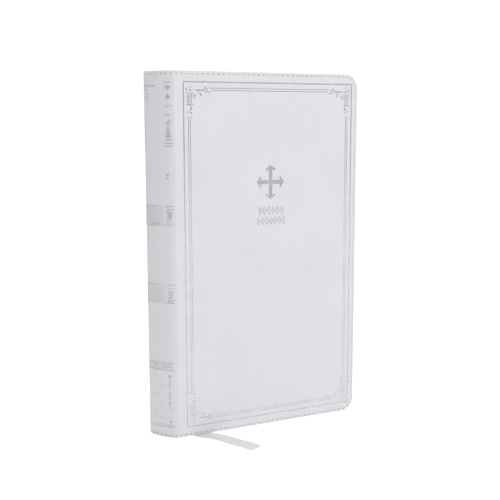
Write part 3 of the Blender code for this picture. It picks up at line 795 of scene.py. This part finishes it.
def add_shapes(points, shapes):
    """Adds the corners of shapes to a list of points, and returns the shapes as rows of indices."""
    faces = []
    for shape in shapes:
        faces.append(list(range(len(points), len(points) + len(shape))))
        points += [Vector(p) for p in wound(shape)]
    return faces


def flat_sheet(border, inside, shapes):
    """Triangles of a flat region given by its border; returns points, triangles and which are stamped."""
    points = [Vector(p) for p in border + inside]
    faces = [list(range(len(border)))] + add_shapes(points, shapes)
    places, _, triangles, _, _, sources = delaunay_2d_cdt(points, [], faces, 1, EPSILON)
    kept = [(triangle, any(source)) for triangle, source in zip(triangles, sources) if 0 in source]
    return [tuple(p) for p in places], [triangle for triangle, _ in kept], [stamped for _, stamped in kept]


def cover_skin(name, shapes):
    """The leather of the front or back cover, with the shapes stamped into its face."""
    stations, total = outline_stations()
    stretch = round(total / STITCH_PITCH) * STITCH_PITCH / total
    vertices, holes = [], []

    def add(x, z, depth, hole=0.0):
        vertices.append((x, SIDES[name] * (HALF - depth), z))
        holes.append(hole)

    inner = [face_point(part, share) for part, share, _ in stations]
    profile = edge_profile(COVER_THICKNESS)
    for x, z in inner:
        add(x, z, 0.0)
    for inset, depth, face_side in profile:
        for part, share, mark in stations:
            # Painted shade in the needle holes, on the outer face only
            hole = needle_dip(inset, mark * stretch) if face_side == 1 else 0.0
            add(*outline_point(part, share, inset), sunk(inset, depth, face_side, mark * stretch), hole)
    for x, z in inner:
        add(x, z, SKIN)
    faces = grid_faces(len(profile) + 2, len(stations))

    bottom, top, right = FACE_INSET_Z, HEIGHT - FACE_INSET_Z, FORE_EDGE - FACE_INSET_X
    levels = spaced(bottom, top, round((top - bottom) / FACE_STEP))
    columns = [x for x, _ in inner[: JOINT_STEPS + 1]]
    border = inner[JOINT_STEPS : len(inner) - JOINT_STEPS]
    border += [(columns[-1], z) for z in reversed(levels[1:-1])]
    for face_depth, stamps, step in ((0.0, shapes, FACE_STEP), (SKIN, [], INSIDE_STEP)):
        faces.extend(grid_faces(len(levels), len(columns), len(vertices)))
        for z in levels:
            for x in columns:
                add(x, z, face_depth)
        inside = spread_points(columns[-1], right, bottom, top, step)
        points, triangles, stamped = flat_sheet(border, inside, stamps)
        high = len(vertices)
        low = high + len(points)
        for depth in (face_depth, face_depth + STAMP_DEPTH):
            for x, z in points:
                add(x, z, depth)
        for triangle, is_stamped in zip(triangles, stamped):
            faces.append(tuple((low if is_stamped else high) + i for i in triangle))
        for (a, b), kinds in edge_users(triangles, stamped).items():
            if len(set(kinds)) == 2:
                faces.append((high + a, high + b, low + b, low + a))
    piece = new_piece(
        f"{name}_cover_leather", f"{name}_cover_skin", vertices, faces, [leather], "leathersoft",
        holes=holes, weld=True,
    )
    across_joint(piece, name)


def across_joint(piece, name):
    """Bakes a piece's placement into its vertices; the piece is not bent."""
    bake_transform(piece)


# --- stitches ------------------------------------------


def stitch(hole, next_hole, outward, surface_sink):
    """One stitch: up out of a needle hole, along the seam and down into the next."""
    rises = [math.sin(math.pi * i / (STITCH_STEPS - 1)) for i in range(STITCH_STEPS)]
    path = []
    for i, rise in enumerate(rises):
        level = -surface_sink + THREAD * (1.75 * rise**0.45 - 1.1)
        path.append(hole.lerp(next_hole, 0.13 + 0.74 * i / (STITCH_STEPS - 1)) + outward * level)
    return tube(path, 8, lambda i, _: THREAD * (0.6 + 0.4 * rises[i] ** 0.5), 0.8, outward)


def stitches(name, node, thickness, holes_at, outward_from):
    """Stitches along a skin's outer and inner faces; holes_at gives the needle holes at a depth."""
    parts = []
    for depth, way, sink in ((0.0, 1.0, SEAM_SINK), (thickness, -1.0, INNER_SINK * SEAM_SINK)):
        holes = holes_at(depth)
        for hole, next_hole in zip(holes, holes[1:]):
            parts.append(stitch(hole, next_hole, outward_from(next_hole - hole) * way, sink))
    return new_piece(name, node, *merged(parts), [seam_thread], "seam_thread")


def cover_stitches(name):
    """The seam round a cover's three free edges."""
    stations, total = outline_stations()
    seam = [outline_point(part, share, SEAM_INSET) for part, share, _ in stations]
    marks = [mark for _, _, mark in stations]
    count = round(total / STITCH_PITCH)
    places = [point_at(seam, marks, mark) for mark in spaced(0.0, total, count)]

    def holes_at(depth):
        return [Vector((x, SIDES[name] * (HALF - depth), z)) for x, z in places]

    outward = Vector((0.0, SIDES[name], 0.0))
    node = f"{name}_seam"
    piece = stitches(f"{name}_cover_stitches", node, COVER_THICKNESS, holes_at, lambda _: outward)
    across_joint(piece, name)


def spine_stitches(name, node, z):
    """The seam across the spine near its head or tail."""

    def holes_at(depth):
        layer = [spine_point(i, depth) for i in range(len(SHARP_LINE))]
        marks = spaced(0.0, SPINE_ALONG[-1], SPINE_STITCHES)
        return [Vector((*point_at(layer, SPINE_ALONG, mark), z)) for mark in marks]

    def outward_from(way):
        return way.cross(Vector((0.0, 0.0, -1.0))).normalized()

    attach(stitches(name, node, SPINE_THICKNESS, holes_at, outward_from), "text_block")


# --- flat shapes, in millimetres -----------------------


def rectangle(left, right, bottom, top):
    return [(left, bottom), (right, bottom), (right, top), (left, top)]


def stroke(points, widths):
    """Outline of a line drawn through points, its width given at each."""
    left, right = [], []
    path = [Vector(point) for point in points]
    for i, point in enumerate(path):
        ahead = heading(path, i)
        side = Vector((-ahead.y, ahead.x)) * widths[i] / 2
        left.append(tuple(point + side))
        right.append(tuple(point - side))
    return right + left[::-1]


def line(points, width):
    return stroke(points, [width] * len(points))


def swelling(points, width, tip=0.35):
    """A stroke that swells in its middle."""
    turns = spaced(0.0, math.pi, len(points) - 1)
    return stroke(points, [width * (tip + (1 - tip) * math.sin(turn)) for turn in turns])


def curl(x, z, radius, start, turn, steps=14, tighten=0.7):
    """Points of a curl round (x, z) that tightens as it turns; angles in degrees."""
    points = []
    for share in spaced(0.0, 1.0, steps):
        angle = math.radians(start + turn * share)
        reach = radius * (1.0 - tighten * share)
        points.append((x + reach * math.cos(angle), z + reach * math.sin(angle)))
    return points


def dot(x, z, radius, stretch=1.0, steps=10):
    angles = [2 * math.pi * i / steps for i in range(steps)]
    return [(x + radius * math.cos(angle), z + stretch * radius * math.sin(angle)) for angle in angles]


def flat_box(node):
    low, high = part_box(node)
    return low / MM, high / MM


def in_metres(shapes):
    return [[(x * MM, z * MM) for x, z in shape] for shape in shapes]


def corner_shapes():
    """One corner's ornament, along and up from the corner of the outer line."""
    star = [(2.9, 4.6), (3.7, 4.3), (4.0, 3.7), (4.3, 4.3), (5.1, 4.6), (4.3, 4.9), (4.0, 5.5), (3.7, 4.9)]
    beside = [
        line([(4.9, 4.6), (7.8, 4.6)], 0.28),
        line([(7.8, 4.6), (13.0, 4.6)], 0.7),
        swelling([(12.6, 2.5), (13.7, 3.1), (14.5, 4.2), (14.3, 5.2), (13.5, 5.9)], 0.75),
        swelling(curl(12.9, 3.3, 0.8, 200.0, -250.0), 0.4),
        swelling([(15.5, 2.6), (16.0, 3.3), (17.0, 3.6)], 0.55),
        swelling([(14.9, 6.2), (15.9, 5.7), (17.0, 4.9)], 0.6),
        line([(7.9, 6.1), (10.6, 6.1)], 0.3),
        line([(10.5, 5.9), (10.5, 7.9)], 0.7),
    ]
    above = [line([(x, 6.0), (x, 12.1)], 0.42) for x in (2.3, 3.15, 4.0, 4.85)]
    above += [
        swelling([(3.6, 1.5), (3.6, 3.5)], 0.35, 0.6),
        swelling([(4.6, 1.5), (4.6, 3.5)], 0.35, 0.6),
        swelling([(2.1, 3.2), (1.6, 4.2), (2.1, 5.2)], 0.75),
        swelling([(1.2, 13.1), (2.1, 12.5), (3.6, 12.8), (4.9, 12.5), (6.1, 12.8)], 0.65),
        swelling([(4.0, 12.9), (4.7, 14.2), (4.6, 15.4), (3.5, 16.3)], 0.85),
        swelling(curl(2.9, 16.4, 1.0, 40.0, 260.0), 0.45),
        dot(4.6, 17.2, 0.5),
        swelling([(1.6, 20.8), (2.5, 19.7), (3.3, 20.5)], 0.6),
        swelling([(3.4, 20.2), (4.3, 19.8), (5.3, 19.1)], 0.65),
    ]
    inside = [
        line([(5.2, 5.9), (6.5, 6.9)], 0.35),
        dot(5.5, 7.8, 0.42),
        dot(6.9, 7.6, 0.5),
        swelling([(7.0, 7.8), (6.8, 8.8), (6.2, 9.6)], 0.6, 0.2),
    ]
    return [star] + beside + above + inside


def cross_shapes():
    """A cross whose arms widen a little and end in a point between two swept-back barbs."""
    low, high = flat_box("foil_cross")
    middle = Vector(((low.x + high.x) / 2 - CROSS_SHIFT, (low.z + high.z) / 2))
    shapes = []
    for turn, reach in enumerate(((high.x - low.x) / 2, (high.z - low.z) / 2) * 2):
        half = [(0.0, 1.15), (4.0, 1.2), (reach - 1.6, 1.35), (reach - 1.1, 0.9)]
        arm = [(x, -y) for x, y in half] + [(reach, 0.0)] + half[::-1]
        barbs = [line([(reach - 0.7, 0.0), (reach - 2.9, way * 3.1)], 1.15) for way in (-1, 1)]
        turned = Matrix.Rotation(math.pi / 2 * turn, 2)
        shapes += [[tuple(turned @ Vector(point) + middle) for point in shape] for shape in [arm] + barbs]
    return in_metres(shapes)


def title_shapes(node, count):
    """A row of open lozenges with a dot in each and short dashes between, in place of a title."""
    low, high = flat_box(node)
    z, tall = (low.z + high.z) / 2, (high.z - low.z - TITLE_LINE) / 2
    pitch = (high.x - low.x) / count
    wide = 0.34 * pitch
    shapes = []
    for i in range(count):
        x = low.x + pitch * (i + 0.5)
        corners = [(x - wide, z), (x, z + tall), (x + wide, z), (x, z - tall)]
        shapes += [line([a, b], TITLE_LINE) for a, b in zip(corners, corners[1:] + corners[:1])]
        shapes.append(dot(x, z, 0.32))
        if i:
            shapes.append(dot(x - pitch / 2, z, 0.22, 2.6))
    return in_metres(shapes)


def frame_shapes():
    """The outer line, and the double inner line broken by its corners."""
    low, high = flat_box("foil_frame_line")
    half, thin = FRAME_LINE / 2, FINE_LINE / 2
    left, right, bottom, top = low.x + half, high.x - half, low.z + half, high.z - half
    outer = [rectangle(x - half, x + half, low.z, high.z) for x in (left, right)]
    outer += [rectangle(low.x, high.x, z - half, z + half) for z in (bottom, top)]
    fine = []
    for across, up in zip(FINE_ACROSS, FINE_UP):
        for x in (left + across, right - across):
            fine.append(rectangle(x - thin, x + thin, bottom + CORNER_UP, top - CORNER_UP))
        for z in (bottom + up, top - up):
            fine.append(rectangle(left + CORNER_ALONG, right - CORNER_ALONG, z - thin, z + thin))
    for x, way_x in ((left, 1), (right, -1)):
        for z, way_z in ((bottom, 1), (top, -1)):
            fine += [[(x + way_x * p, z + way_z * q) for p, q in shape] for shape in corner_shapes()]
    return in_metres(outer), in_metres(fine)


MOTIFS = {
    "dash": [(-1.7, -0.35), (1.6, -0.35), (1.6, 0.35), (-1.7, 0.35)],
    "bead": [(-1.2, -0.5), (-0.6, -0.9), (0.2, -0.35), (1.6, -0.3), (1.6, 0.35), (-0.9, 0.35)],
    "lozenge": [(-1.6, 0.3), (0.0, -1.7), (1.6, 0.3), (0.0, 1.5)],
    "leaf": [(-1.0, -1.4), (1.1, -1.4), (0.7, 0.9), (-0.1, 1.8)],
    "fin": [(1.5, 2.0), (0.3, 1.4), (-1.2, -0.3), (0.9, -2.1)],
    "dot": [(-1.4, 0.0), (-0.6, -0.6), (0.6, -0.6), (1.4, 0.0), (0.6, 0.5), (-0.6, 0.5)],
}
HEAD_COLUMN = (
    ("dash", 2.9), ("lozenge", 5.0), ("leaf", 5.2), ("bead", 5.0), ("dot", 4.4), ("fin", 3.6),
    ("leaf", 2.2), ("dot", 1.8), ("lozenge", 1.9), ("bead", 1.9), ("dash", 1.6), ("dash", 1.4),
)
BAND_COLUMN = (
    ("bead", 1.9), ("bead", 1.7), ("dot", 1.9), ("fin", 2.2),
    ("dot", 1.5), ("bead", 1.3), ("dash", 1.0),
)
TAIL_COLUMN = (
    ("lozenge", 5.4), ("bead", 5.4), ("dot", 5.4), ("lozenge", 8.6),
    ("dash", 2.4), ("fin", 3.0), ("dot", 1.0),
)
TAIL_CURLS = (
    (4.8, 30.2, 1.5, 20.0, 250.0), (7.9, 24.8, 2.5, 150.0, -280.0), (5.8, 19.6, 1.3, -60.0, 300.0),
    (8.4, 13.8, 2.1, 90.0, -240.0), (5.0, 8.4, 1.7, 200.0, 270.0), (8.8, 5.0, 1.1, 10.0, 240.0),
)


def both_sides(shapes):
    """Shapes, and the same mirrored across the spine."""
    return shapes + [[(-y, z) for y, z in shape] for shape in shapes]


def column(y, top, motifs, size=1.0):
    """Motifs one below another at both edges of the spine, each given with its drop to the next."""
    shapes, z = [], top
    for kind, drop in motifs:
        shapes.append([(y + size * p, z + size * q) for p, q in MOTIFS[kind]])
        z -= drop
    return both_sides(shapes)


def ruled(z, half_width, width):
    """A rule across the spine."""
    return [rectangle(-half_width, half_width, z - width / 2, z + width / 2)]


def hatching(bottom, top):
    """Hairlines close enough together to tint a band."""
    levels = spaced(bottom, top, round((top - bottom) / 0.5))[1:-1]
    return [shape for z in levels for shape in ruled(z, 11.4, 0.09)]


def head_panel_shapes(low, high):
    """Short rules on the crest, beads below them, and a long column down each edge."""
    top = high.z - 0.5
    shapes = column(STRING_Y, top, HEAD_COLUMN, 0.95)
    shapes += ruled(top - 1.9, 7.6, 0.45) + ruled(top - 3.9, 3.0, 0.45)
    shapes += both_sides([line([(2.7, top - 5.6), (2.7, top - 9.6)], 0.35)])
    return shapes + [dot(0.0, low.z + 0.6 + 2.1 * i, 0.6, 0.7) for i in range(6)]


def band_shapes(low, high):
    """A hatched band between rules, with a knot of small motifs at each edge."""
    shapes = column(STRING_Y, high.z - 0.5, BAND_COLUMN) + hatching(low.z, high.z)
    for z in (high.z - 0.2, low.z + 1.4, low.z + 0.3):
        shapes += ruled(z, 8.6, 0.4)
    return shapes


def tail_panel_shapes(low, high):
    """A ruled band with curls over a panel edged with beads, and a rule at the foot."""
    top = high.z - 0.3
    shapes = hatching(top - 4.2, top)
    for z, width in ((top, 0.5), (top - 4.2, 0.55), (low.z + 1.6, 0.3), (low.z + 0.3, 0.5)):
        shapes += ruled(z, high.y - 0.4, width)
    edging = [swelling(curl(6.0, top - 2.1, 1.5, 180.0, -300.0), 0.5)]
    edging += [line([(9.4, top - z), (14.2, top - z)], 0.45) for z in (1.2, 2.6)]
    edging.append(swelling([(TAIL_STRING_Y, top - 7.0 - 1.2 * i) for i in range(18)], 0.6, 0.5))
    edging.append(line([(11.0, low.z + 11.0), (14.6, low.z + 11.0)], 0.4))
    for across, up, *turning in TAIL_CURLS:
        edging.append(swelling(curl(across, low.z + up, *turning), 0.32))
    return shapes + both_sides(edging) + column(TAIL_STRING_Y, top - 8.0, TAIL_COLUMN, 0.68)


def mark_shapes(low, high):
    """Two beads, one over the other, at each edge."""
    z = (low.z + high.z) / 2
    return both_sides([dot(STRING_Y - 0.4, z + way * 0.95, 0.7, 0.95) for way in (-1, 1)])


# --- foil ----------------------------------------------


def in_cover(x, z, height):
    """A point of foil lying at the bottom of its stamped recess."""
    return x, -HALF + STAMP_DEPTH - GAP - height, z


def on_back(y, z, height):
    """A point of foil lying on the spine's facets."""
    ys = [point.y for point in SPINE_LINE]
    i = min(max(bisect.bisect_right(ys, y), 1), len(ys) - 1)
    a, b = SPINE_LINE[i - 1], SPINE_LINE[i]
    way = b - a
    outward = Vector((-way.y, way.x)).normalized() * (GAP + height)
    spot = a + way * ((y - a.y) / way.y) + outward
    return spot.x, spot.y, z


def foil_sheet(name, node, shapes, place, material, body, creases=()):
    """Overlapping flat shapes merged into one thin sheet, creased along upright lines.

    place turns a flat point and its height above the skin into a point in space.
    """
    points, edges = [], []
    faces = add_shapes(points, shapes)
    bottom, top = min(p.y for p in points) - MM, max(p.y for p in points) + MM
    for crease in creases:
        edges.append((len(points), len(points) + 1))
        points += [Vector((crease, bottom)), Vector((crease, top))]
    flat, _, triangles, _, _, sources = delaunay_2d_cdt(points, edges, faces, 0, EPSILON)
    kept = [triangle for triangle, source in zip(triangles, sources) if source]
    used = sorted({i for triangle in kept for i in triangle})
    index = {old: new for new, old in enumerate(used)}
    kept = [tuple(index[i] for i in triangle) for triangle in kept]
    under = len(used)
    vertices = [place(*flat[i], height) for height in (FOIL, 0.0) for i in used]
    out = kept + [tuple(under + i for i in reversed(triangle)) for triangle in kept]
    for (a, b), users in edge_users(kept, kept).items():
        if len(users) == 1:
            out.append((a, b, under + b, under + a))
    new_piece(name, node, vertices, out, [material], "silver_foil", body)


# --- leaves --------------------------------------------


def block_x(y):
    return back_x(y, BACK_SINK, HALF - BLOCK_HALF)


def leaf_outline(left, right):
    """Counter-clockwise outline of a leaf, its fore-edge corners rounded, from tail fold to head fold."""
    bottom, top = SECTION_LOW.z, SECTION_HIGH.z
    x_turn = right - PAGE_RADIUS
    low_turn, high_turn = bottom + PAGE_RADIUS, top - PAGE_RADIUS
    columns = [left + (x_turn - left) * share for share in LEAF_COLUMNS]
    points = [(x, bottom) for x in columns] + arc(x_turn, low_turn, PAGE_RADIUS, -90.0, CORNER_STEPS)
    points += [(right, z) for z in spaced(low_turn, high_turn, 4)[1:-1]]
    points += arc(x_turn, high_turn, PAGE_RADIUS, 0.0, CORNER_STEPS)
    return points + [(x, top) for x in reversed(columns)]


def leaf_block(name, node, body, material, slot):
    """A group of leaves as one block: cut edges with page lines, and two page faces.

    With a body it starts at the joint and is left unattached. Without one it is sewn in and reaches the
    rounded back.
    """
    low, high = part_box(node)
    middle, reach = (low.y + high.y) / 2, (high.y - low.y) / 2
    slices = max(1, round(2 * reach / LEAF_SLICE))
    shift = LEAF_SHIFT * (random.random() - 0.5)
    vertices = []
    for y in spaced(low.y, high.y, slices):
        left = HINGE_X if body else block_x(y) + FOLD_HOLLOW * abs((y - middle) / reach) ** 3
        ring = leaf_outline(left, block_x(y) + LEAF_WIDTH + shift)
        vertices += [(x, y, z) for x, z in ring]
    faces = striped_faces(slices + 1, len(ring))
    piece = new_piece(name, node, vertices, faces, [page_edges, material], slot, sharp=35.0)
    for polygon in piece.data.polygons:
        ys = [vertices[i][1] for i in polygon.vertices]
        polygon.material_index = int(max(ys) - min(ys) < EPSILON)
    if body:
        start, end = (HINGE_X, middle, 0.0), (HINGE_X + LEAF_BEND, middle, 0.0)
        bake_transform(piece)
        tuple(start)
        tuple(end)
    else:
        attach(piece, "text_block")


def section_folds(node):
    """The sewn and glued folds of the leaves that turn."""
    low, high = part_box(node)
    ys = spaced(low.y, high.y, FOLD_STEPS)
    at_joint = HINGE_X - GAP
    ring = [(block_x(y), y) for y in ys] + [(at_joint, ys[-1]), (at_joint, ys[0])]
    vertices = [(x, y, z) for z in (low.z, high.z) for x, y in ring]
    faces = capped_faces(2, len(ring))
    new_piece(node + "_edges", node, vertices, faces, [page_edges], "bible_paper", "text_block")


def pastedown(name):
    """The endpaper glued to the cover: a thin sheet with softly rounded corners, up to the joint."""
    low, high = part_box(f"{name}_pastedown")
    radius = PASTEDOWN_RADIUS
    columns = spaced(HINGE_X, BOARD_START, JOINT_STEPS)
    outline = [(x, low.z) for x in columns]
    outline += arc(high.x - radius, low.z + radius, radius, -90.0, CORNER_STEPS)
    outline += arc(high.x - radius, high.z - radius, radius, 0.0, CORNER_STEPS)
    outline += [(x, high.z) for x in reversed(columns)]
    vertices = [(x, y, z) for y in (low.y, high.y) for x, z in outline]
    faces = striped_faces(2, len(outline))
    node = f"{name}_pastedown"
    across_joint(new_piece(f"{node}_sheet", node, vertices, faces, [endpaper], "endpaper"), name)


# --- bands and ribbon ----------------------------------


def band(name, node):
    """Head or tail band: cotton wound round a core in ribs."""
    low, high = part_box(node)
    radius, z = (high.z - low.z) / 2, (low.z + high.z) / 2
    reach = high.y - radius * 0.3
    path = []
    for turn in spaced(-math.pi / 2, math.pi / 2, BAND_STEPS):
        y = reach * math.sin(turn)
        path.append(Vector((back_x(y, BACK_SINK + radius, HALF - BLOCK_HALF + radius), y, z)))
    along = lengths(path)

    def radius_at(i, angle):
        ends = min(1.0, min(i, BAND_STEPS - i) / 4.0 + 0.35)
        return radius * 0.94 * ends * (1.0 + 0.09 * math.sin(2.0 * math.pi * along[i] / BAND_RIB + angle))

    extra = []
    for mark in along:
        for step in range(BAND_SIDES):
            angle = 2.0 * math.pi * step / BAND_SIDES
            extra.append((mark + angle * 0.08 * MM, angle * MM, 0.0))
    vertices, faces = tube(path, BAND_SIDES, radius_at)
    new_piece(name, node, vertices, faces, [band_cotton], "band_cotton", "text_block", extra=extra)


def ribbon_strip(name, node, stations, fray=0.0):
    """A woven ribbon through (centre, across, up, cupping) stations, its selvedges slightly thicker."""
    centres = [centre for centre, _, _, _ in stations]
    along = lengths(centres)
    vertices, extra = [], []
    for i, (centre, across, up, cup) in enumerate(stations):
        top, under, places = [], [], []
        for j in range(RIBBON_COLUMNS + 1):
            share = 2.0 * j / RIBBON_COLUMNS - 1.0
            middle = centre + across * (share * RIBBON_WIDTH / 2) + up * (cup * (share * share - 0.35))
            if i == len(stations) - 1:
                middle += (centre - centres[i - 1]).normalized() * (fray * math.sin(j * 2.4))
            half = RIBBON / 2 + (SELVEDGE if abs(share) > 0.85 else 0.0)
            top.append(middle + up * half)
            under.append(middle - up * half)
            places.append((along[i], share * RIBBON_WIDTH / 2, 0.0))
        vertices += top + under[::-1]
        extra += places + places[::-1]
    faces = striped_faces(len(stations), 2 * (RIBBON_COLUMNS + 1))
    return new_piece(name, node, vertices, faces, [satin], "ribbon_satin", extra=extra)


def smooth_path(points, count):
    """Catmull-Rom points through a list of vectors, evenly counted."""
    padded = [points[0] * 2 - points[1]] + points + [points[-1] * 2 - points[-2]]
    out = []
    for i in range(count + 1):
        at = (len(points) - 1) * i / count
        k = min(int(at), len(points) - 2)
        t = at - k
        p0, p1, p2, p3 = padded[k : k + 4]
        bend = (2 * p0 - 5 * p1 + 4 * p2 - p3) * t * t + (3 * p1 - p0 - 3 * p2 + p3) * t**3
        out.append(0.5 * (2 * p1 + (p2 - p0) * t + bend))
    return out


def ribbon():
    """One satin ribbon: flat between two sections, out at the tail under the cover, and on to the table."""
    x, y_exit, _ = RIBBON_EXIT
    slot_y = SECTION_LOW.y - SLOT_GAP
    rest_z = FLOOR_Z + RIBBON / 2 + TABLE_GAP
    rightward = Vector((1.0, 0.0, 0.0))
    inside = [
        Vector((x - 15.0 * MM, slot_y, HEIGHT - 4.0 * MM)),
        Vector((x - 8.0 * MM, slot_y, HEIGHT / 2)),
        Vector((x - 1.0 * MM, slot_y, 9.0 * MM)),
        Vector((x - 0.6 * MM, slot_y, 3.0 * MM)),
        Vector((x - 0.4 * MM, slot_y - 1.3 * MM, 0.9 * MM)),
        Vector((x - 0.2 * MM, slot_y - 4.2 * MM, rest_z + 0.25 * MM)),
        Vector((x, -HALF + 2.0 * MM, rest_z)),
        Vector((x, y_exit, rest_z)),
    ]
    path = smooth_path(inside, RIBBON_ROWS[0])
    stations = []
    for i, point in enumerate(path):
        ahead = heading(path, i)
        across = (rightward - ahead * ahead.x).normalized()
        stations.append((point, across, ahead.cross(across).normalized(), 0.0))
    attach(ribbon_strip("ribbon_inside", "ribbon_in_block", stations), "text_block")

    on_table = [(x / MM + 1.6, y_exit / MM - 2.0, 0.2), (31.4, -23.9, 0.7), (35.0, -30.8, 0.9)]
    on_table += [(38.5, -37.7, 0.6), (41.8, -44.2, 0.8), (45.2, -50.6, 0.2)]
    outside = [inside[-1]] + [Vector((px * MM, py * MM, rest_z + lift * MM)) for px, py, lift in on_table]
    path = smooth_path(outside, RIBBON_ROWS[1])
    stations = []
    for i, point in enumerate(path):
        share = i / (len(path) - 1)
        ahead = heading(path, i)
        flat = Vector((-ahead.y, ahead.x, 0.0)).normalized()
        across = rightward.lerp(flat, ease(share / RIBBON_TURN)).normalized()
        up = ahead.cross(across).normalized()
        clear = max(0.0, rest_z - (point.z - abs(across.z) * RIBBON_WIDTH / 2))
        cup = CUPPING * math.sin(math.pi * share) * math.cos(5.0 * share)
        lowest = min(0.0, cup * -0.35, cup * 0.65)
        lift = Vector((0.0, 0.0, clear - lowest))
        stations.append((point + lift, across, -up if up.z < 0.0 else up, cup))
    tail = ribbon_strip("ribbon_end", "ribbon_tail", stations, FRAY)
    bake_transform(tail)


def dress(nodes, material):
    """CAD nodes that keep their shape get a material."""
    for node in nodes:
        mesh = frame["nodes"][node].data
        mesh.materials.clear()
        mesh.materials.append(material)


# --- studio --------------------------------------------


def link(name, data):
    """A new object in the scene."""
    item = bpy.data.objects.new(name, data)
    bpy.context.scene.collection.objects.link(item)
    return item


def studio():
    """A wide pale floor, three softboxes and a sky that is bright only where the camera sees it."""
    mesh = bpy.data.meshes.new("studio_floor")
    work = bmesh.new()
    bmesh.ops.create_grid(work, x_segments=8, y_segments=8, size=FLOOR_SIZE)
    work.to_mesh(mesh)
    work.free()
    mesh.materials.append(floor_material())
    floor = link("studio_floor", mesh)
    floor.location = (0.0, 0.0, FLOOR_Z - FLOOR_GAP)

    world = bpy.data.worlds.new("studio")
    bpy.context.scene.world = world
    nodes = Nodes(world)
    background = nodes.tree.nodes["Background"]
    direction = nodes.add("TexCoord", "Generated")
    sky = nodes.range(nodes.parts(direction)["Z"], 0.0, 1.0, HORIZON_LIGHT, ZENITH_LIGHT)
    seen = nodes.add("LightPath", "Is Camera Ray")
    background.inputs["Color"].default_value = SKY
    nodes.put(nodes.range(seen, 0.0, 1.0, sky, BACKDROP), background, "Strength")

    for name, place, size, power, colour in LIGHTS:
        light = bpy.data.lights.new(name, "AREA")
        light.shape = "RECTANGLE"
        light.size, light.size_y = size
        light.energy, light.color = power, colour
        lamp = link(name, light)
        lamp.location = place
        lamp.rotation_euler = (LIT_POINT - lamp.location).to_track_quat("-Z", "Y").to_euler()


def camera():
    """The photo's camera, from its fitted place, yaw, pitch and roll."""
    data = bpy.data.cameras.new("camera")
    data.lens, data.sensor_width = LENS, SENSOR
    item = link("camera", data)
    turned = Matrix.Rotation(-YAW, 4, "Z") @ Matrix.Rotation(math.pi / 2 - PITCH, 4, "X")
    item.matrix_world = Matrix.Translation(CAMERA_PLACE) @ turned @ Matrix.Rotation(ROLL, 4, "Z")
    bpy.context.scene.camera = item


# --- the whole scene -----------------------------------

bpy.context.scene.view_settings.view_transform = "Standard"

outer_line, fine_lines = frame_shapes()
cover_stamps = (
    ("frame_line_foil", "foil_frame_line", outer_line),
    ("frame_ornament_foil", "foil_frame_double_line", fine_lines),
    ("cross_foil", "foil_cross", cross_shapes()),
    ("title_upper_foil", "foil_title_row_upper", title_shapes("foil_title_row_upper", 6)),
    ("title_lower_foil", "foil_title_row_lower", title_shapes("foil_title_row_lower", 7)),
)
spine_skin()
cover_skin("front", [shape for _, _, shapes in cover_stamps for shape in shapes])
cover_skin("back", [])
for name in SIDES:
    cover_stitches(name)
spine_stitches("spine_tail_stitches", "spine_seam_tail", SEAM_INSET)
spine_stitches("spine_head_stitches", "spine_seam_head", HEIGHT - SEAM_INSET)

for name, node, shapes in cover_stamps:
    foil_sheet(name, node, shapes, in_cover, cover_foil, "front_cover")
creases = [point.y for point in SPINE_LINE[LEG_STEPS + 1 : -LEG_STEPS - 1]]
for panel, shapes_of in (
    ("head_panel", head_panel_shapes), ("upper_band", band_shapes), ("middle_band", band_shapes),
    ("tail_panel", tail_panel_shapes), ("mark", mark_shapes),
):
    node = f"spine_foil_{panel}"
    shapes = in_metres(shapes_of(*flat_box(node)))
    foil_sheet(f"spine_{panel}_foil", node, shapes, on_back, spine_foil, "text_block", creases)

for name in SIDES:
    leaf_block(f"{name}_flyleaf_sheet", f"{name}_flyleaf", f"{name}_flyleaf", endpaper, "endpaper")
for node in sorted(frame["nodes"]):
    if "_leaves_" in node or node.startswith("section_"):
        body = node if "_leaves_" in node else None
        leaf_block(f"{node}_pages", node, body, page_faces, "bible_paper")
for name in SIDES:
    section_folds(f"{name}_section_folds")
    pastedown(name)
band("headband_cord", "headband")
band("tailband_cord", "tailband")
ribbon()

dress(["front_board", "back_board", "spine_inlay"], board_material())
dress(["spine_lining"], kraft_material())
dress(["mull", "front_mull_wing", "back_mull_wing"], gauze_material())
dress(["sewing_thread"], thread_material("sewing_thread", None, SEWING_THREAD, 1800.0))

studio()
camera()
